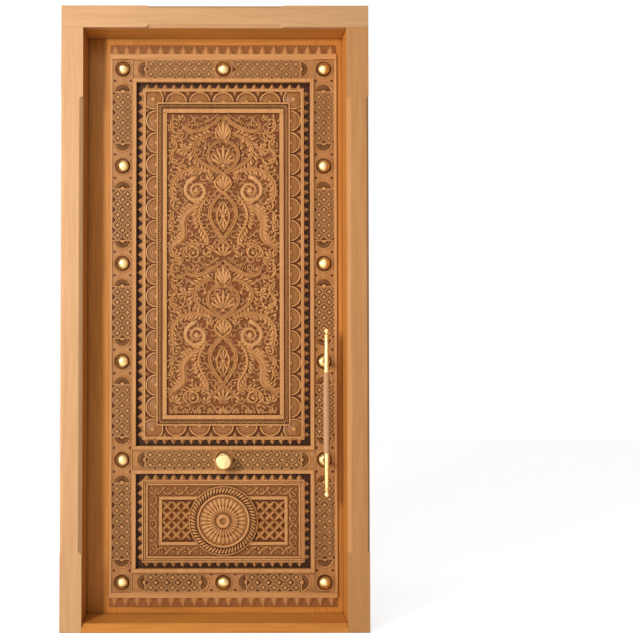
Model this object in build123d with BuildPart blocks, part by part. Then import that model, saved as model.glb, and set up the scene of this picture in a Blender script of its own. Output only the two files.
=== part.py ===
"""Carved timber entrance door with its frame: casing, jambs, framed leaf, mouldings and brass fittings.

Millimetres, +Z up, front towards -Y. The origin is on the floor between the jambs, in the wall plane.
"""

import math
import os

from build123d import *

os.makedirs("parts", exist_ok=True)

# Frame
opening_width = 930
opening_height = 2094
threshold_height = 30
threshold_rear_height = 18
threshold_chamfer = 15
casing_width = 77
casing_thickness = 30
casing_housing = 10
reveal_depth = 150
jamb_thickness = 40
rebate_lap = 12
stop_gap = 3
inner_chamfer = 13
outer_chamfer = 8
chamfer_stop = 12
head_stop = 297
leg_top_stop = 318
leg_bottom_stop = 270
fixing_hole_radius = 4.5
fixing_spacing = 1500
seal_width = 4.6
seal_depth = 7
seal_lip_width = 7
seal_clearance = 0.4

# Clearances
fit_gap = 0.3
running_gap = 0.05
overrun = 2

# Leaf
leaf_thickness = 56
hinge_gap = 3
lock_gap = 4
head_gap = 3
sill_gap = 4
hinge_stile_width = 174
lock_stile_width = 113
top_rail_height = 159
lower_panel_bottom = 179
lower_panel_height = 369
lock_rail_height = 74
panel_thickness = 24
tongue = 10
tenon_length = 50
tenon_thickness = 18
tenon_shoulder = 14

# Carved overlay on the stiles and rails
overlay_thickness = 10
column_border = 10
lock_edge_margin = 29
frieze_height = 72
strip_height = 54
strip_tooth_length = 34
strip_tooth_height = 7
strip_tooth_count = 20
diamond_pitch = 36.9
diamond_strap = 7
diamond_depth = 5
shell_radius = 33
shell_depth = 6
shell_reach = 84
shell_flutes = 8
centre_plain = 36

# Panel mouldings
dentil_width = 40
dentil_strip = 13
dentil_strip_rise = 32
dentil_floor = 18
dentil_floor_rise = 8
dentil_edge_rise = 24
dentil_pitch = 34
dentil_tooth_height = 7
scallop_width = 85
scallop_fillet = 8
scallop_band = 38
scallop_fillet_rise = 25
scallop_band_rise = 22
scallop_pitch = 79
scallop_depth = 8
rope_start = 53
rope_end = 68
rope_rise = 25
rope_valley_rise = 20
flat_rise = 23

# Panel fields
upper_field_rise = 14
relief_height = 8
unit_share = 0.48
unit_top_gap = 6
scroll_x_share = 0.48
scroll_drop_share = 0.52
scroll_radius_share = 0.283
scroll_width_share = 0.1
scroll_start_angle = 100
scroll_sweep_angle = 285
scroll_eye_share = 0.11
eye_sides = 10
ribbon_step_angle = 20
medallion_drop_share = 0.28
medallion_radius_share = 0.27
medallion_sides = 16
lozenge_drop_share = 0.77
lozenge_width_share = 0.34
lozenge_height_share = 0.22
leaf_arc_x_share = 0.37
leaf_arc_drop_share = 0.85
leaf_arc_radius_share = 0.34
leaf_arc_width_share = 0.15
leaf_arc_start_angle = -75
leaf_arc_sweep_angle = 150
lower_field_rise = 18
fillet_band = 16
fillet_drop = 4
vine_band = 40
vine_leaf_length = 46
vine_leaf_width = 17
vine_leaf_height = 5
vine_pitch = 41
vine_turn_angle = 38
grid_border = 12
grid_drop = 6
grid_pitch = 35
grid_rows = 4
grid_columns = 3
grid_pyramid_height = 6

# Rosette
rosette_radius = 127
rosette_rim_height = 8
rosette_rope_outer_radius = 121
rosette_rope_inner_radius = 112
rosette_rope_height = 6
rosette_dish_radius = 92
rosette_floor_radius = 86
rosette_dish_depth = 7
rosette_petal_inner_radius = 50
rosette_petal_height = 6
rosette_petals = 24
rosette_inner_petals = 16
rosette_bud_radius = 26
rosette_bud_top_radius = 20
rosette_bud_height = 13
rosette_hole_radius = 11
rosette_hole_depth = 6
rosette_sides = 32
bud_sides = 16
petal_peak_share = 0.7

# Brass studs, centre knob and pull handle
stud_radius = 23
stud_shoulder_radius = 17
stud_shoulder_height = 12
stud_height = 21
stud_top_radius = 6
stud_sides = 16
turned_sides = 16
knob_standoff = 75
knob_rose_radius = 24
knob_rose_height = 6
knob_neck_radius = 9
knob_neck_length = 34
knob_radius = 28.5
knob_rim = 8
knob_face_radius = 22
handle_standoff = 82
handle_post_radius = 8
handle_rose_radius = 23
handle_rose_height = 14
sleeve_radius = 9.5
sleeve_end_radius = 8
grip_end_radius = 10.5
grip_radius = 12
upper_grip_gap = 37
lower_grip_gap = 33.25
sleeve_length = 124
finial_neck_radius = 5
finial_collar_radius = 10
finial_collar_height = 7
finial_neck_height = 7
finial_ball_radius = 10
finial_ball_flat_radius = 4.5

# Hinges
hinge_height = 110
knuckle_radius = 7
knuckle_sides = 12
pin_radius = 4
pin_length = 34
flap_width = 27
flap_thickness = 3
knuckle_clearance = 0.5
hinge_end_distance = 230

# Deadlock
lock_height = 1050
case_wall = 28
spindle_inset = 25
case_height = 130
case_thickness = 20
forend_thickness = 3
forend_height = 190
forend_width = 24
bolt_thickness = 14
bolt_height = 26
bolt_inset = 23
bolt_setback = 1
bolt_throw = 20
strike_thickness = 3
strike_height = 120
strike_width = 30
keep_height = 140
pocket_clearance = 5
spindle_radius = 4
turn_rose_width = 40
turn_rose_height = 56
turn_rose_thickness = 4
turn_length = 40
turn_width = 12
turn_depth = 20

# Worked out from the sizes above
half_opening = opening_width / 2
half_rebate = half_opening + rebate_lap
half_jamb = half_opening + jamb_thickness
half_casing = half_opening + casing_width
head_bottom = threshold_height + opening_height
head_top = head_bottom + jamb_thickness
casing_top = head_bottom + casing_width
leaf_front = reveal_depth - casing_thickness
leaf_back = leaf_front + leaf_thickness
leaf_middle = leaf_front + leaf_thickness / 2
stop_face = leaf_front - stop_gap
leaf_left = -half_rebate + hinge_gap
leaf_right = half_rebate - lock_gap
leaf_bottom = threshold_rear_height + sill_gap
leaf_top = head_bottom + rebate_lap - head_gap
lower_panel_top = lower_panel_bottom + lower_panel_height
upper_panel_bottom = lower_panel_top + lock_rail_height
upper_panel_top = leaf_top - top_rail_height
upper_panel_height = upper_panel_top - upper_panel_bottom
upper_centre = (upper_panel_bottom + upper_panel_top) / 2
lower_centre = (lower_panel_bottom + lower_panel_top) / 2
panel_left = leaf_left + hinge_stile_width
panel_right = leaf_right - lock_stile_width
panel_half_width = (panel_right - panel_left) / 2
design_offset = (panel_left + panel_right) / 2
column_width = lock_stile_width - lock_edge_margin
column_band = column_width - column_border
carved_half_width = panel_half_width + column_width
panel_face = leaf_middle - panel_thickness / 2
groove_depth = tongue + overrun / 2
groove_width = panel_thickness + 2 * fit_gap
overlay_front = leaf_front - overlay_thickness
column_offset = panel_half_width + column_band / 2
top_frieze_centre = upper_panel_top + frieze_height / 2
lock_frieze_centre = lower_panel_top + lock_rail_height / 2
bottom_frieze_centre = lower_panel_bottom - frieze_height / 2
bay_count = 4
bay = (top_frieze_centre - lock_frieze_centre) / bay_count
stud_heights = [lock_frieze_centre + bay * i for i in range(bay_count + 1)]
stud_heights.insert(0, bottom_frieze_centre)
handle_x = design_offset + column_offset
handle_y = overlay_front - handle_standoff
upper_post = stud_heights[2]
lower_post = stud_heights[1]
grip_top = upper_post - upper_grip_gap
grip_bottom = lower_post + lower_grip_gap
grip_length = grip_top - grip_bottom
seal_offset = half_opening + rebate_lap / 2
case_depth = lock_stile_width - case_wall
backset = case_depth - spindle_inset
bolt_length = case_depth - bolt_inset
turn_x = leaf_right - backset
hinge_x = leaf_left - hinge_gap / 2
hinge_y = leaf_back + knuckle_radius + knuckle_clearance
toward_viewer = Vector(0, -1, 0)


def keep(piece, name):
    piece.part.label = name
    export_step(piece.part, f"parts/{name}.step")


def board(x_range, y_range, z_range, mode=Mode.ADD):
    """A board between two corners."""
    low = Vector(x_range[0], y_range[0], z_range[0])
    high = Vector(x_range[1], y_range[1], z_range[1])
    size = high - low
    with Locations((low + high) / 2):
        Box(size.X, size.Y, size.Z, mode=mode)


def around(centre, size):
    """The two ends of a length about its centre."""
    return centre - size / 2, centre + size / 2


def stopped_chamfer(start, end, outward, size):
    """Cuts a chamfer along an arris, ending in sloping stops."""
    start, end = Vector(*start), Vector(*end)
    outward = Vector(*outward).normalized()
    along = (end - start).normalized()
    depth = size / math.sqrt(2)
    reach = 2 * depth
    length = (end - start).length - 2 * chamfer_stop
    flare = chamfer_stop * reach / depth
    width = 2 * size
    middle = (start + end) / 2 - outward * depth
    with Locations(Plane(origin=middle, x_dir=along, z_dir=along.cross(outward))):
        Wedge(
            length, reach, width, -flare, 0, length + flare, width,
            align=(Align.CENTER, Align.MIN, Align.CENTER), mode=Mode.SUBTRACT,
        )


def face_plane(x, y, z):
    """A plane seen from the front, x to the right and y up."""
    return Plane(origin=(x, y, z), x_dir=(1, 0, 0), z_dir=(0, -1, 0))


# Jambs, with their rebate, seal groove and fixing holes
for jamb_name, side in (("jamb_hinge", -1), ("jamb_lock", 1)):
    with BuildPart() as jamb:
        with BuildSketch(Plane.XY):
            with BuildLine():
                Polyline(
                    (side * half_opening, -casing_housing),
                    (side * half_opening, stop_face),
                    (side * half_rebate, stop_face),
                    (side * half_rebate, leaf_back),
                    (side * half_jamb, leaf_back),
                    (side * half_jamb, -casing_housing),
                    close=True,
                )
            make_face()
        extrude(amount=head_top)
        board(
            around(side * seal_offset, seal_width),
            (stop_face - seal_depth, stop_face),
            (threshold_height, head_bottom + rebate_lap / 2 + seal_width / 2),
            mode=Mode.SUBTRACT,
        )
        fixing_y = (stop_face + leaf_back) / 2
        fixing_x = side * (half_rebate + half_jamb) / 2
        with Locations(*[(fixing_x, fixing_y, z) for z in around(head_top / 2, fixing_spacing)]):
            Cylinder(fixing_hole_radius, jamb_thickness, rotation=(0, 90, 0), mode=Mode.SUBTRACT)
        if side > 0:
            board(
                (half_rebate, half_jamb),
                (stop_face, leaf_back),
                around(lock_height, keep_height),
                mode=Mode.SUBTRACT,
            )
    keep(jamb, jamb_name)

# Keep block let into the lock jamb, with the pocket for the bolt
with BuildPart() as keep_block:
    board((half_rebate, half_jamb), (stop_face, leaf_back), around(lock_height, keep_height))
    board(
        (half_rebate, half_rebate + strike_thickness),
        around(leaf_middle, strike_width),
        around(lock_height, strike_height),
        mode=Mode.SUBTRACT,
    )
    board(
        (half_rebate, leaf_right - bolt_setback + bolt_throw + overrun),
        around(leaf_middle, bolt_thickness + 2 * pocket_clearance),
        around(lock_height, bolt_height + 2 * pocket_clearance),
        mode=Mode.SUBTRACT,
    )
keep(keep_block, "keep_block")

# Head of the frame, between the jambs
with BuildPart() as jamb_head:
    board((-half_opening, half_opening), (-casing_housing, stop_face), (head_bottom, head_top))
    board((-half_rebate, half_rebate), (stop_face, leaf_back), (head_bottom + rebate_lap, head_top))
    board(
        (-half_opening, half_opening),
        (stop_face - seal_depth, stop_face),
        around(head_bottom + rebate_lap / 2, seal_width),
        mode=Mode.SUBTRACT,
    )
keep(jamb_head, "jamb_head")

# Threshold, lower behind the leaf
with BuildPart() as threshold:
    with BuildSketch(Plane.YZ):
        with BuildLine():
            Polyline(
                (-casing_thickness, 0),
                (-casing_thickness, threshold_height - threshold_chamfer),
                (-casing_thickness + threshold_chamfer, threshold_height),
                (stop_face, threshold_height),
                (stop_face, 0),
                close=True,
            )
        make_face()
    extrude(amount=half_opening, both=True)
    board((-half_rebate, half_rebate), (stop_face, leaf_back), (0, threshold_rear_height))
keep(threshold, "threshold")

# Casing legs and head, housed over the front edge of the jambs
for leg_name, side in (("casing_leg_hinge", -1), ("casing_leg_lock", 1)):
    with BuildPart() as leg:
        with BuildSketch(Plane.XY):
            with BuildLine():
                Polyline(
                    (side * half_opening, -casing_thickness),
                    (side * half_casing, -casing_thickness),
                    (side * half_casing, 0),
                    (side * (half_jamb + fit_gap), 0),
                    (side * (half_jamb + fit_gap), -casing_housing),
                    (side * half_opening, -casing_housing),
                    close=True,
                )
            make_face()
        extrude(amount=head_bottom)
        chamfer_top = casing_top - leg_top_stop
        for edge, turn, size in ((half_opening, -side, inner_chamfer), (half_casing, side, outer_chamfer)):
            stopped_chamfer(
                (side * edge, -casing_thickness, leg_bottom_stop),
                (side * edge, -casing_thickness, chamfer_top),
                (turn, -1, 0),
                size,
            )
    keep(leg, leg_name)

with BuildPart() as casing_head:
    with BuildSketch(Plane.YZ):
        with BuildLine():
            Polyline(
                (-casing_thickness, head_bottom),
                (-casing_thickness, casing_top),
                (0, casing_top),
                (0, head_top + fit_gap),
                (-casing_housing, head_top + fit_gap),
                (-casing_housing, head_bottom),
                close=True,
            )
        make_face()
    extrude(amount=half_casing, both=True)
    half_chamfer = half_casing - head_stop
    for level, turn, size in ((head_bottom, -1, inner_chamfer), (casing_top, 1, outer_chamfer)):
        stopped_chamfer(
            (-half_chamfer, -casing_thickness, level),
            (half_chamfer, -casing_thickness, level),
            (0, -1, turn),
            size,
        )
keep(casing_head, "casing_head")


def seal_section(middle):
    """Stem in the groove and a tapered lip towards the leaf."""
    lip_tip = leaf_front - seal_clearance
    half_stem, half_lip = seal_width / 2, seal_lip_width / 2
    Polygon(
        (middle - half_stem, stop_face - seal_depth),
        (middle - half_stem, stop_face),
        (middle - half_lip, stop_face),
        (middle - half_stem, lip_tip),
        (middle + half_stem, lip_tip),
        (middle + half_lip, stop_face),
        (middle + half_stem, stop_face),
        (middle + half_stem, stop_face - seal_depth),
        align=None,
    )


# Rubber seal in the stops: two uprights and a head length
with BuildPart() as rebate_seal:
    for side in (-1, 1):
        with BuildSketch(Plane.XY.offset(threshold_height)):
            seal_section(side * seal_offset)
        extrude(amount=opening_height + rebate_lap / 2)
    head_seal = Plane(origin=(0, 0, head_bottom + rebate_lap / 2), x_dir=(0, 0, 1), z_dir=(-1, 0, 0))
    with BuildSketch(head_seal):
        seal_section(0)
    extrude(amount=seal_offset - seal_lip_width, both=True)
keep(rebate_seal, "rebate_seal")

# Strike plate let into the lock jamb
with BuildPart() as strike_plate:
    board(
        (half_rebate, half_rebate + strike_thickness),
        around(leaf_middle, strike_width),
        around(lock_height, strike_height),
    )
    board(
        (half_rebate, half_rebate + strike_thickness),
        around(leaf_middle, bolt_thickness + overrun),
        around(lock_height, bolt_height + overrun),
        mode=Mode.SUBTRACT,
    )
keep(strike_plate, "strike_plate")

# Stiles of the leaf, with panel grooves and mortises
rails = (
    ("bottom_rail", leaf_bottom, lower_panel_bottom),
    ("lock_rail", lower_panel_top, upper_panel_bottom),
    ("top_rail", upper_panel_top, leaf_top),
)
panel_spans = ((lower_panel_bottom, lower_panel_top), (upper_panel_bottom, upper_panel_top))
leaf_range = (leaf_front, leaf_back)
mortise_range = around(leaf_middle, tenon_thickness + 2 * fit_gap)
groove_range = around(leaf_middle, groove_width)


def stile_joints(edge, side):
    """Grooves for the panels and mortises for the rails, on the stile's panel edge."""
    for low, high in panel_spans:
        depth = sorted((edge, edge + side * groove_depth))
        board(depth, groove_range, (low - groove_depth, high + groove_depth), mode=Mode.SUBTRACT)
    for _, low, high in rails:
        depth = sorted((edge, edge + side * (tenon_length + overrun)))
        span = (low + tenon_shoulder - fit_gap, high - tenon_shoulder + fit_gap)
        board(depth, mortise_range, span, mode=Mode.SUBTRACT)


with BuildPart() as hinge_stile:
    board((leaf_left, panel_left), leaf_range, (leaf_bottom, leaf_top))
    stile_joints(panel_left, -1)
keep(hinge_stile, "hinge_stile")

case_left = leaf_right - case_depth
with BuildPart() as lock_stile:
    board((panel_right, leaf_right), leaf_range, (leaf_bottom, leaf_top))
    stile_joints(panel_right, 1)
    board(
        (case_left - fit_gap, leaf_right),
        around(leaf_middle, case_thickness + 2 * fit_gap),
        around(lock_height, case_height + 2 * fit_gap),
        mode=Mode.SUBTRACT,
    )
    board(
        (leaf_right - forend_thickness, leaf_right),
        around(leaf_middle, forend_width + 2 * fit_gap),
        around(lock_height, forend_height + 2 * fit_gap),
        mode=Mode.SUBTRACT,
    )
    board(
        around(turn_x, 2 * (spindle_radius + overrun)),
        (leaf_middle, leaf_back),
        around(lock_height, 2 * (spindle_radius + overrun)),
        mode=Mode.SUBTRACT,
    )
keep(lock_stile, "lock_stile")

# Rails, tenoned into the stiles
for rail_name, low, high in rails:
    with BuildPart() as rail:
        board((panel_left, panel_right), leaf_range, (low, high))
        board(
            (panel_left - tenon_length, panel_right + tenon_length),
            around(leaf_middle, tenon_thickness),
            (low + tenon_shoulder, high - tenon_shoulder),
        )
        for edge, side in ((low, 1), (high, -1)):
            if leaf_bottom < edge < leaf_top:
                depth = sorted((edge, edge + side * groove_depth))
                board((panel_left, panel_right), groove_range, depth, mode=Mode.SUBTRACT)
    keep(rail, rail_name)


# Carving tools: fluted half shells and sunk diamonds
def half_shell(radius, depth):
    """A sunk half shell of flat flutes: its flat side lies along X and its round side faces -Z."""
    flutes = [math.pi * i / shell_flutes for i in range(shell_flutes + 1)]
    with BuildPart() as cutter:
        with BuildSketch(Plane.XZ):
            Polygon(*[(radius * math.cos(t), -radius * math.sin(t)) for t in flutes], align=None)
        loft(sections=[cutter.pending_faces[0], Vertex(0, depth, 0)], ruled=True)
    return cutter.part


def turned(profile, sides):
    """A turned piece with flat facets, from (radius, height) pairs up its axis, +Z."""
    turns = [2 * math.pi * i / sides for i in range(sides)]
    rings = [[Vector(r * math.cos(t), r * math.sin(t), h) for t in turns] for r, h in profile]
    outlines = [rings[0], rings[-1]]
    for low, high in zip(rings[:-1], rings[1:]):
        outlines += [[low[i - 1], low[i], high[i], high[i - 1]] for i in range(sides)]
    return Solid(Shell([Face(Wire.make_polygon(outline)) for outline in outlines]))


def ribbon(centre, radius, width, start_angle, sweep_angle, mirrored):
    """A curved strap in straight steps, on the sketch in hand."""
    steps = math.ceil(abs(sweep_angle) / ribbon_step_angle)
    turns = [math.radians(start_angle + sweep_angle * i / steps) for i in range(steps + 1)]
    inner, outer = radius - width / 2, radius + width / 2
    path = [(r, t) for r, row in ((outer, turns), (inner, turns[::-1])) for t in row]
    Polygon(
        *[(mirrored * (centre[0] + r * math.cos(t)), centre[1] + r * math.sin(t)) for r, t in path],
        align=None,
    )


shell = half_shell(shell_radius, shell_depth)
scallop = half_shell(scallop_pitch / 2 - overrun, scallop_depth)
round_side_turns = {(0, -1): 0, (0, 1): 180, (1, 0): -90, (-1, 0): 90}


def cut_shells(places, facing, tool, face):
    """Half shells with their round side towards facing, given as (x, z)."""
    with Locations(*[(x, face, z) for x, z in places]):
        add(tool, rotation=(0, round_side_turns[facing], 0), mode=Mode.SUBTRACT)


def cut_diamonds(places, face):
    """A row of sunk diamonds that leaves a lattice of diagonal straps."""
    side = (diamond_pitch - diamond_strap) / math.sqrt(2)
    middle = side / 2
    with Locations(*[(x, face, z) for x, z in places]):
        Wedge(
            side, diamond_depth, side, middle, middle, middle, middle, rotation=(0, 45, 0),
            align=(Align.CENTER, Align.MIN, Align.CENTER), mode=Mode.SUBTRACT,
        )


def lattice(start, end):
    """Middles of the diamond rows between two ends."""
    rows = round(abs(end - start) / diamond_pitch)
    step = (end - start) / rows
    return [start + step * (i + 1 / 2) for i in range(rows)]


half_pair = column_band / 4
pair = (-half_pair, half_pair)

# Carved columns over the stiles
column_bottom = bottom_frieze_centre - frieze_height / 2
column_top = top_frieze_centre + frieze_height / 2
for column_name, side in (("carved_column_hinge", -1), ("carved_column_lock", 1)):
    middle = design_offset + side * column_offset
    edges = sorted((design_offset + side * panel_half_width, design_offset + side * carved_half_width))
    with BuildPart() as column:
        board(edges, (overlay_front, leaf_front), (column_bottom, column_top))
        for low, high in zip(stud_heights[:-1], stud_heights[1:]):
            rows = lattice(low + shell_reach, high - shell_reach)
            cut_diamonds([(middle + x, z) for z in rows for x in pair], overlay_front)
        cut_shells([(middle, z + shell_reach) for z in stud_heights[:-1]], (0, -1), shell, overlay_front)
        cut_shells([(middle, z - shell_reach) for z in stud_heights[1:]], (0, 1), shell, overlay_front)
    keep(column, column_name)

# Carved friezes over the rails
frieze_rows = (
    ("frieze_top", top_frieze_centre, frieze_height, centre_plain),
    ("frieze_lock", lock_frieze_centre, lock_rail_height, centre_plain),
    ("frieze_bottom", bottom_frieze_centre, frieze_height, shell_reach),
)
frieze_end = column_offset - shell_reach
for frieze_name, level, height, inner_end in frieze_rows:
    with BuildPart() as frieze:
        board((panel_left, panel_right), (overlay_front, leaf_front), around(level, height))
        for side in (-1, 1):
            columns = lattice(design_offset + side * inner_end, design_offset + side * frieze_end)
            cut_diamonds([(x, level + z) for x in columns for z in pair], overlay_front)
            cut_shells([(design_offset + side * frieze_end, level)], (side, 0), shell, overlay_front)
            if inner_end == shell_reach:
                cut_shells([(design_offset + side * inner_end, level)], (-side, 0), shell, overlay_front)
    keep(frieze, frieze_name)

# Strips of pointed teeth at the top and bottom of the carving
strip_rows = (("tooth_strip_top", column_top, 1), ("tooth_strip_bottom", column_bottom, -1))
tooth_pitch = 2 * carved_half_width / strip_tooth_count
for strip_name, level, side in strip_rows:
    far = level + side * strip_height
    root = far - side * strip_tooth_length
    first = design_offset - carved_half_width + tooth_pitch / 2
    ground = overlay_front + strip_tooth_height
    with BuildPart() as strip:
        board(
            (design_offset - carved_half_width, design_offset + carved_half_width),
            (ground, leaf_front),
            sorted((root, far)),
        )
        board(
            (design_offset - carved_half_width, design_offset + carved_half_width),
            (overlay_front, leaf_front),
            sorted((level, root)),
        )
        tooth_planes = [
            Plane(
                origin=(first + tooth_pitch * i, ground, root),
                x_dir=(-side, 0, 0),
                z_dir=(0, 0, side),
            )
            for i in range(strip_tooth_count)
        ]
        with Locations(*tooth_planes):
            Wedge(
                tooth_pitch, strip_tooth_height, strip_tooth_length,
                tooth_pitch / 2, 0, tooth_pitch / 2, 0,
                align=(Align.CENTER, Align.MIN, Align.MIN),
            )
    keep(strip, strip_name)


def mitre(corner, inward, along):
    """Cuts one end of a moulding at 45 degrees."""
    split(bisect_by=Plane(origin=corner, z_dir=inward + along), keep=Keep.BOTTOM)


sides = {"top": (0, 1), "bottom": (0, -1), "left": (-1, 0), "right": (1, 0)}


def side_frame(outward, half_width, half_height, level):
    """Directions, outer edge middle and half length of one side of a panel."""
    out = Vector(outward[0], 0, outward[1])
    inward = out * -1
    along = inward.cross(toward_viewer)
    reach = half_width if outward[0] else half_height
    half_length = half_height if outward[0] else half_width
    edge = Vector(design_offset, panel_face, level) + out * reach
    return inward, along, edge, half_length


# Dentil mouldings round both panels
dentil_run = dentil_width - dentil_floor
dentil_climb = dentil_edge_rise - dentil_floor_rise
dentil_slope = math.hypot(dentil_run, dentil_climb)
dentil_panels = (
    ("upper", upper_centre, upper_panel_height / 2),
    ("lower", lower_centre, lower_panel_height / 2),
)
for panel_name, level, half_height in dentil_panels:
    for side_name, outward in sides.items():
        inward, along, edge, half_length = side_frame(outward, panel_half_width, half_height, level)
        with BuildPart() as dentil:
            with BuildSketch(Plane(origin=edge, x_dir=inward, z_dir=along)):
                with BuildLine():
                    Polyline(
                        (0, 0),
                        (0, dentil_strip_rise),
                        (dentil_strip, dentil_strip_rise),
                        (dentil_strip, dentil_floor_rise),
                        (dentil_floor, dentil_floor_rise),
                        (dentil_width, dentil_edge_rise),
                        (dentil_width, 0),
                        close=True,
                    )
                make_face()
            extrude(amount=half_length, both=True)
            up_slope = (inward * dentil_run + toward_viewer * dentil_climb).normalized()
            off_slope = (toward_viewer * dentil_run - inward * dentil_climb).normalized()
            foot = edge + inward * dentil_floor + toward_viewer * dentil_floor_rise
            tooth_count = round(2 * half_length / dentil_pitch)
            pitch = 2 * half_length / tooth_count
            across = off_slope.cross(up_slope)
            starts = [pitch * (i + 1 / 2) - half_length for i in range(tooth_count)]
            with Locations(*[Plane(origin=foot + across * s, x_dir=across, z_dir=up_slope) for s in starts]):
                Wedge(
                    pitch, dentil_tooth_height, dentil_slope, pitch / 2, 0, pitch / 2, 0,
                    align=(Align.CENTER, Align.MIN, Align.MIN),
                )
            mitre(edge + along * half_length, inward, along)
            mitre(edge - along * half_length, inward, along * -1)
        keep(dentil, f"{panel_name}_dentil_{side_name}")

# Scallop mouldings inside the upper dentils, with a rope bead and a flat inner edge
scallop_half_width = panel_half_width - dentil_width
scallop_half_height = upper_panel_height / 2 - dentil_width
scallop_line = scallop_fillet + scallop_band
rope_middle = (rope_start + rope_end) / 2
for side_name, outward in sides.items():
    inward, along, edge, half_length = side_frame(
        outward, scallop_half_width, scallop_half_height, upper_centre
    )
    with BuildPart() as moulding:
        with BuildSketch(Plane(origin=edge, x_dir=inward, z_dir=along)):
            with BuildLine():
                outline = Polyline(
                    (rope_start, rope_valley_rise),
                    (rope_start, scallop_fillet_rise),
                    (scallop_line, scallop_fillet_rise),
                    (scallop_line, scallop_band_rise),
                    (scallop_fillet, scallop_band_rise),
                    (scallop_fillet, scallop_fillet_rise),
                    (0, scallop_fillet_rise),
                    (0, 0),
                    (scallop_width, 0),
                    (scallop_width, flat_rise),
                    (rope_end, flat_rise),
                    (rope_end, rope_valley_rise),
                )
                ThreePointArc(outline @ 1, (rope_middle, rope_rise), outline @ 0)
            make_face()
        extrude(amount=half_length, both=True)
        run = 2 * (half_length - scallop_line)
        count = round(run / scallop_pitch)
        base = edge + inward * scallop_line
        spots = [base + along * (run * ((i + 1 / 2) / count - 1 / 2)) for i in range(count)]
        cut_shells([(p.X, p.Z) for p in spots], outward, scallop, panel_face - scallop_band_rise)
        mitre(edge + along * half_length, inward, along)
        mitre(edge - along * half_length, inward, along * -1)
    keep(moulding, f"upper_scallop_{side_name}")

# Upper panel: a board in the grooves and a raised field with the main scrolls
field_half_width = scallop_half_width - scallop_width - fit_gap
field_half_height = scallop_half_height - scallop_width - fit_gap
field_front = panel_face - upper_field_rise
unit_height = unit_share * 2 * field_half_height
with BuildPart() as upper_panel:
    with Locations((design_offset, leaf_middle, upper_centre)):
        Box(2 * (panel_half_width + tongue), panel_thickness, upper_panel_height + 2 * tongue)
    with BuildSketch(face_plane(design_offset, panel_face, upper_centre)):
        Rectangle(2 * field_half_width, 2 * field_half_height)
    extrude(amount=upper_field_rise)
    with BuildSketch(face_plane(design_offset, field_front, upper_centre)):
        for unit in range(2):
            top = field_half_height - unit_top_gap - unit * unit_height
            with Locations((0, top - medallion_drop_share * unit_height)):
                RegularPolygon(medallion_radius_share * field_half_width, medallion_sides)
            half_lozenge = lozenge_width_share * field_half_width / 2
            lozenge_reach = lozenge_height_share * unit_height / 2
            with Locations((0, top - lozenge_drop_share * unit_height)):
                Polygon((0, lozenge_reach), (half_lozenge, 0), (0, -lozenge_reach), (-half_lozenge, 0))
            scroll_x = scroll_x_share * field_half_width
            scroll_z = top - scroll_drop_share * unit_height
            leaf_arc_x = leaf_arc_x_share * field_half_width
            leaf_arc_z = top - leaf_arc_drop_share * unit_height
            for side in (-1, 1):
                ribbon(
                    (scroll_x, scroll_z),
                    scroll_radius_share * field_half_width, scroll_width_share * field_half_width,
                    scroll_start_angle, scroll_sweep_angle, side,
                )
                ribbon(
                    (leaf_arc_x, leaf_arc_z),
                    leaf_arc_radius_share * field_half_width, leaf_arc_width_share * field_half_width,
                    leaf_arc_start_angle, leaf_arc_sweep_angle, side,
                )
                with Locations((side * scroll_x, scroll_z)):
                    RegularPolygon(scroll_eye_share * field_half_width, eye_sides)
    extrude(amount=relief_height)
keep(upper_panel, "upper_panel")

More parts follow.
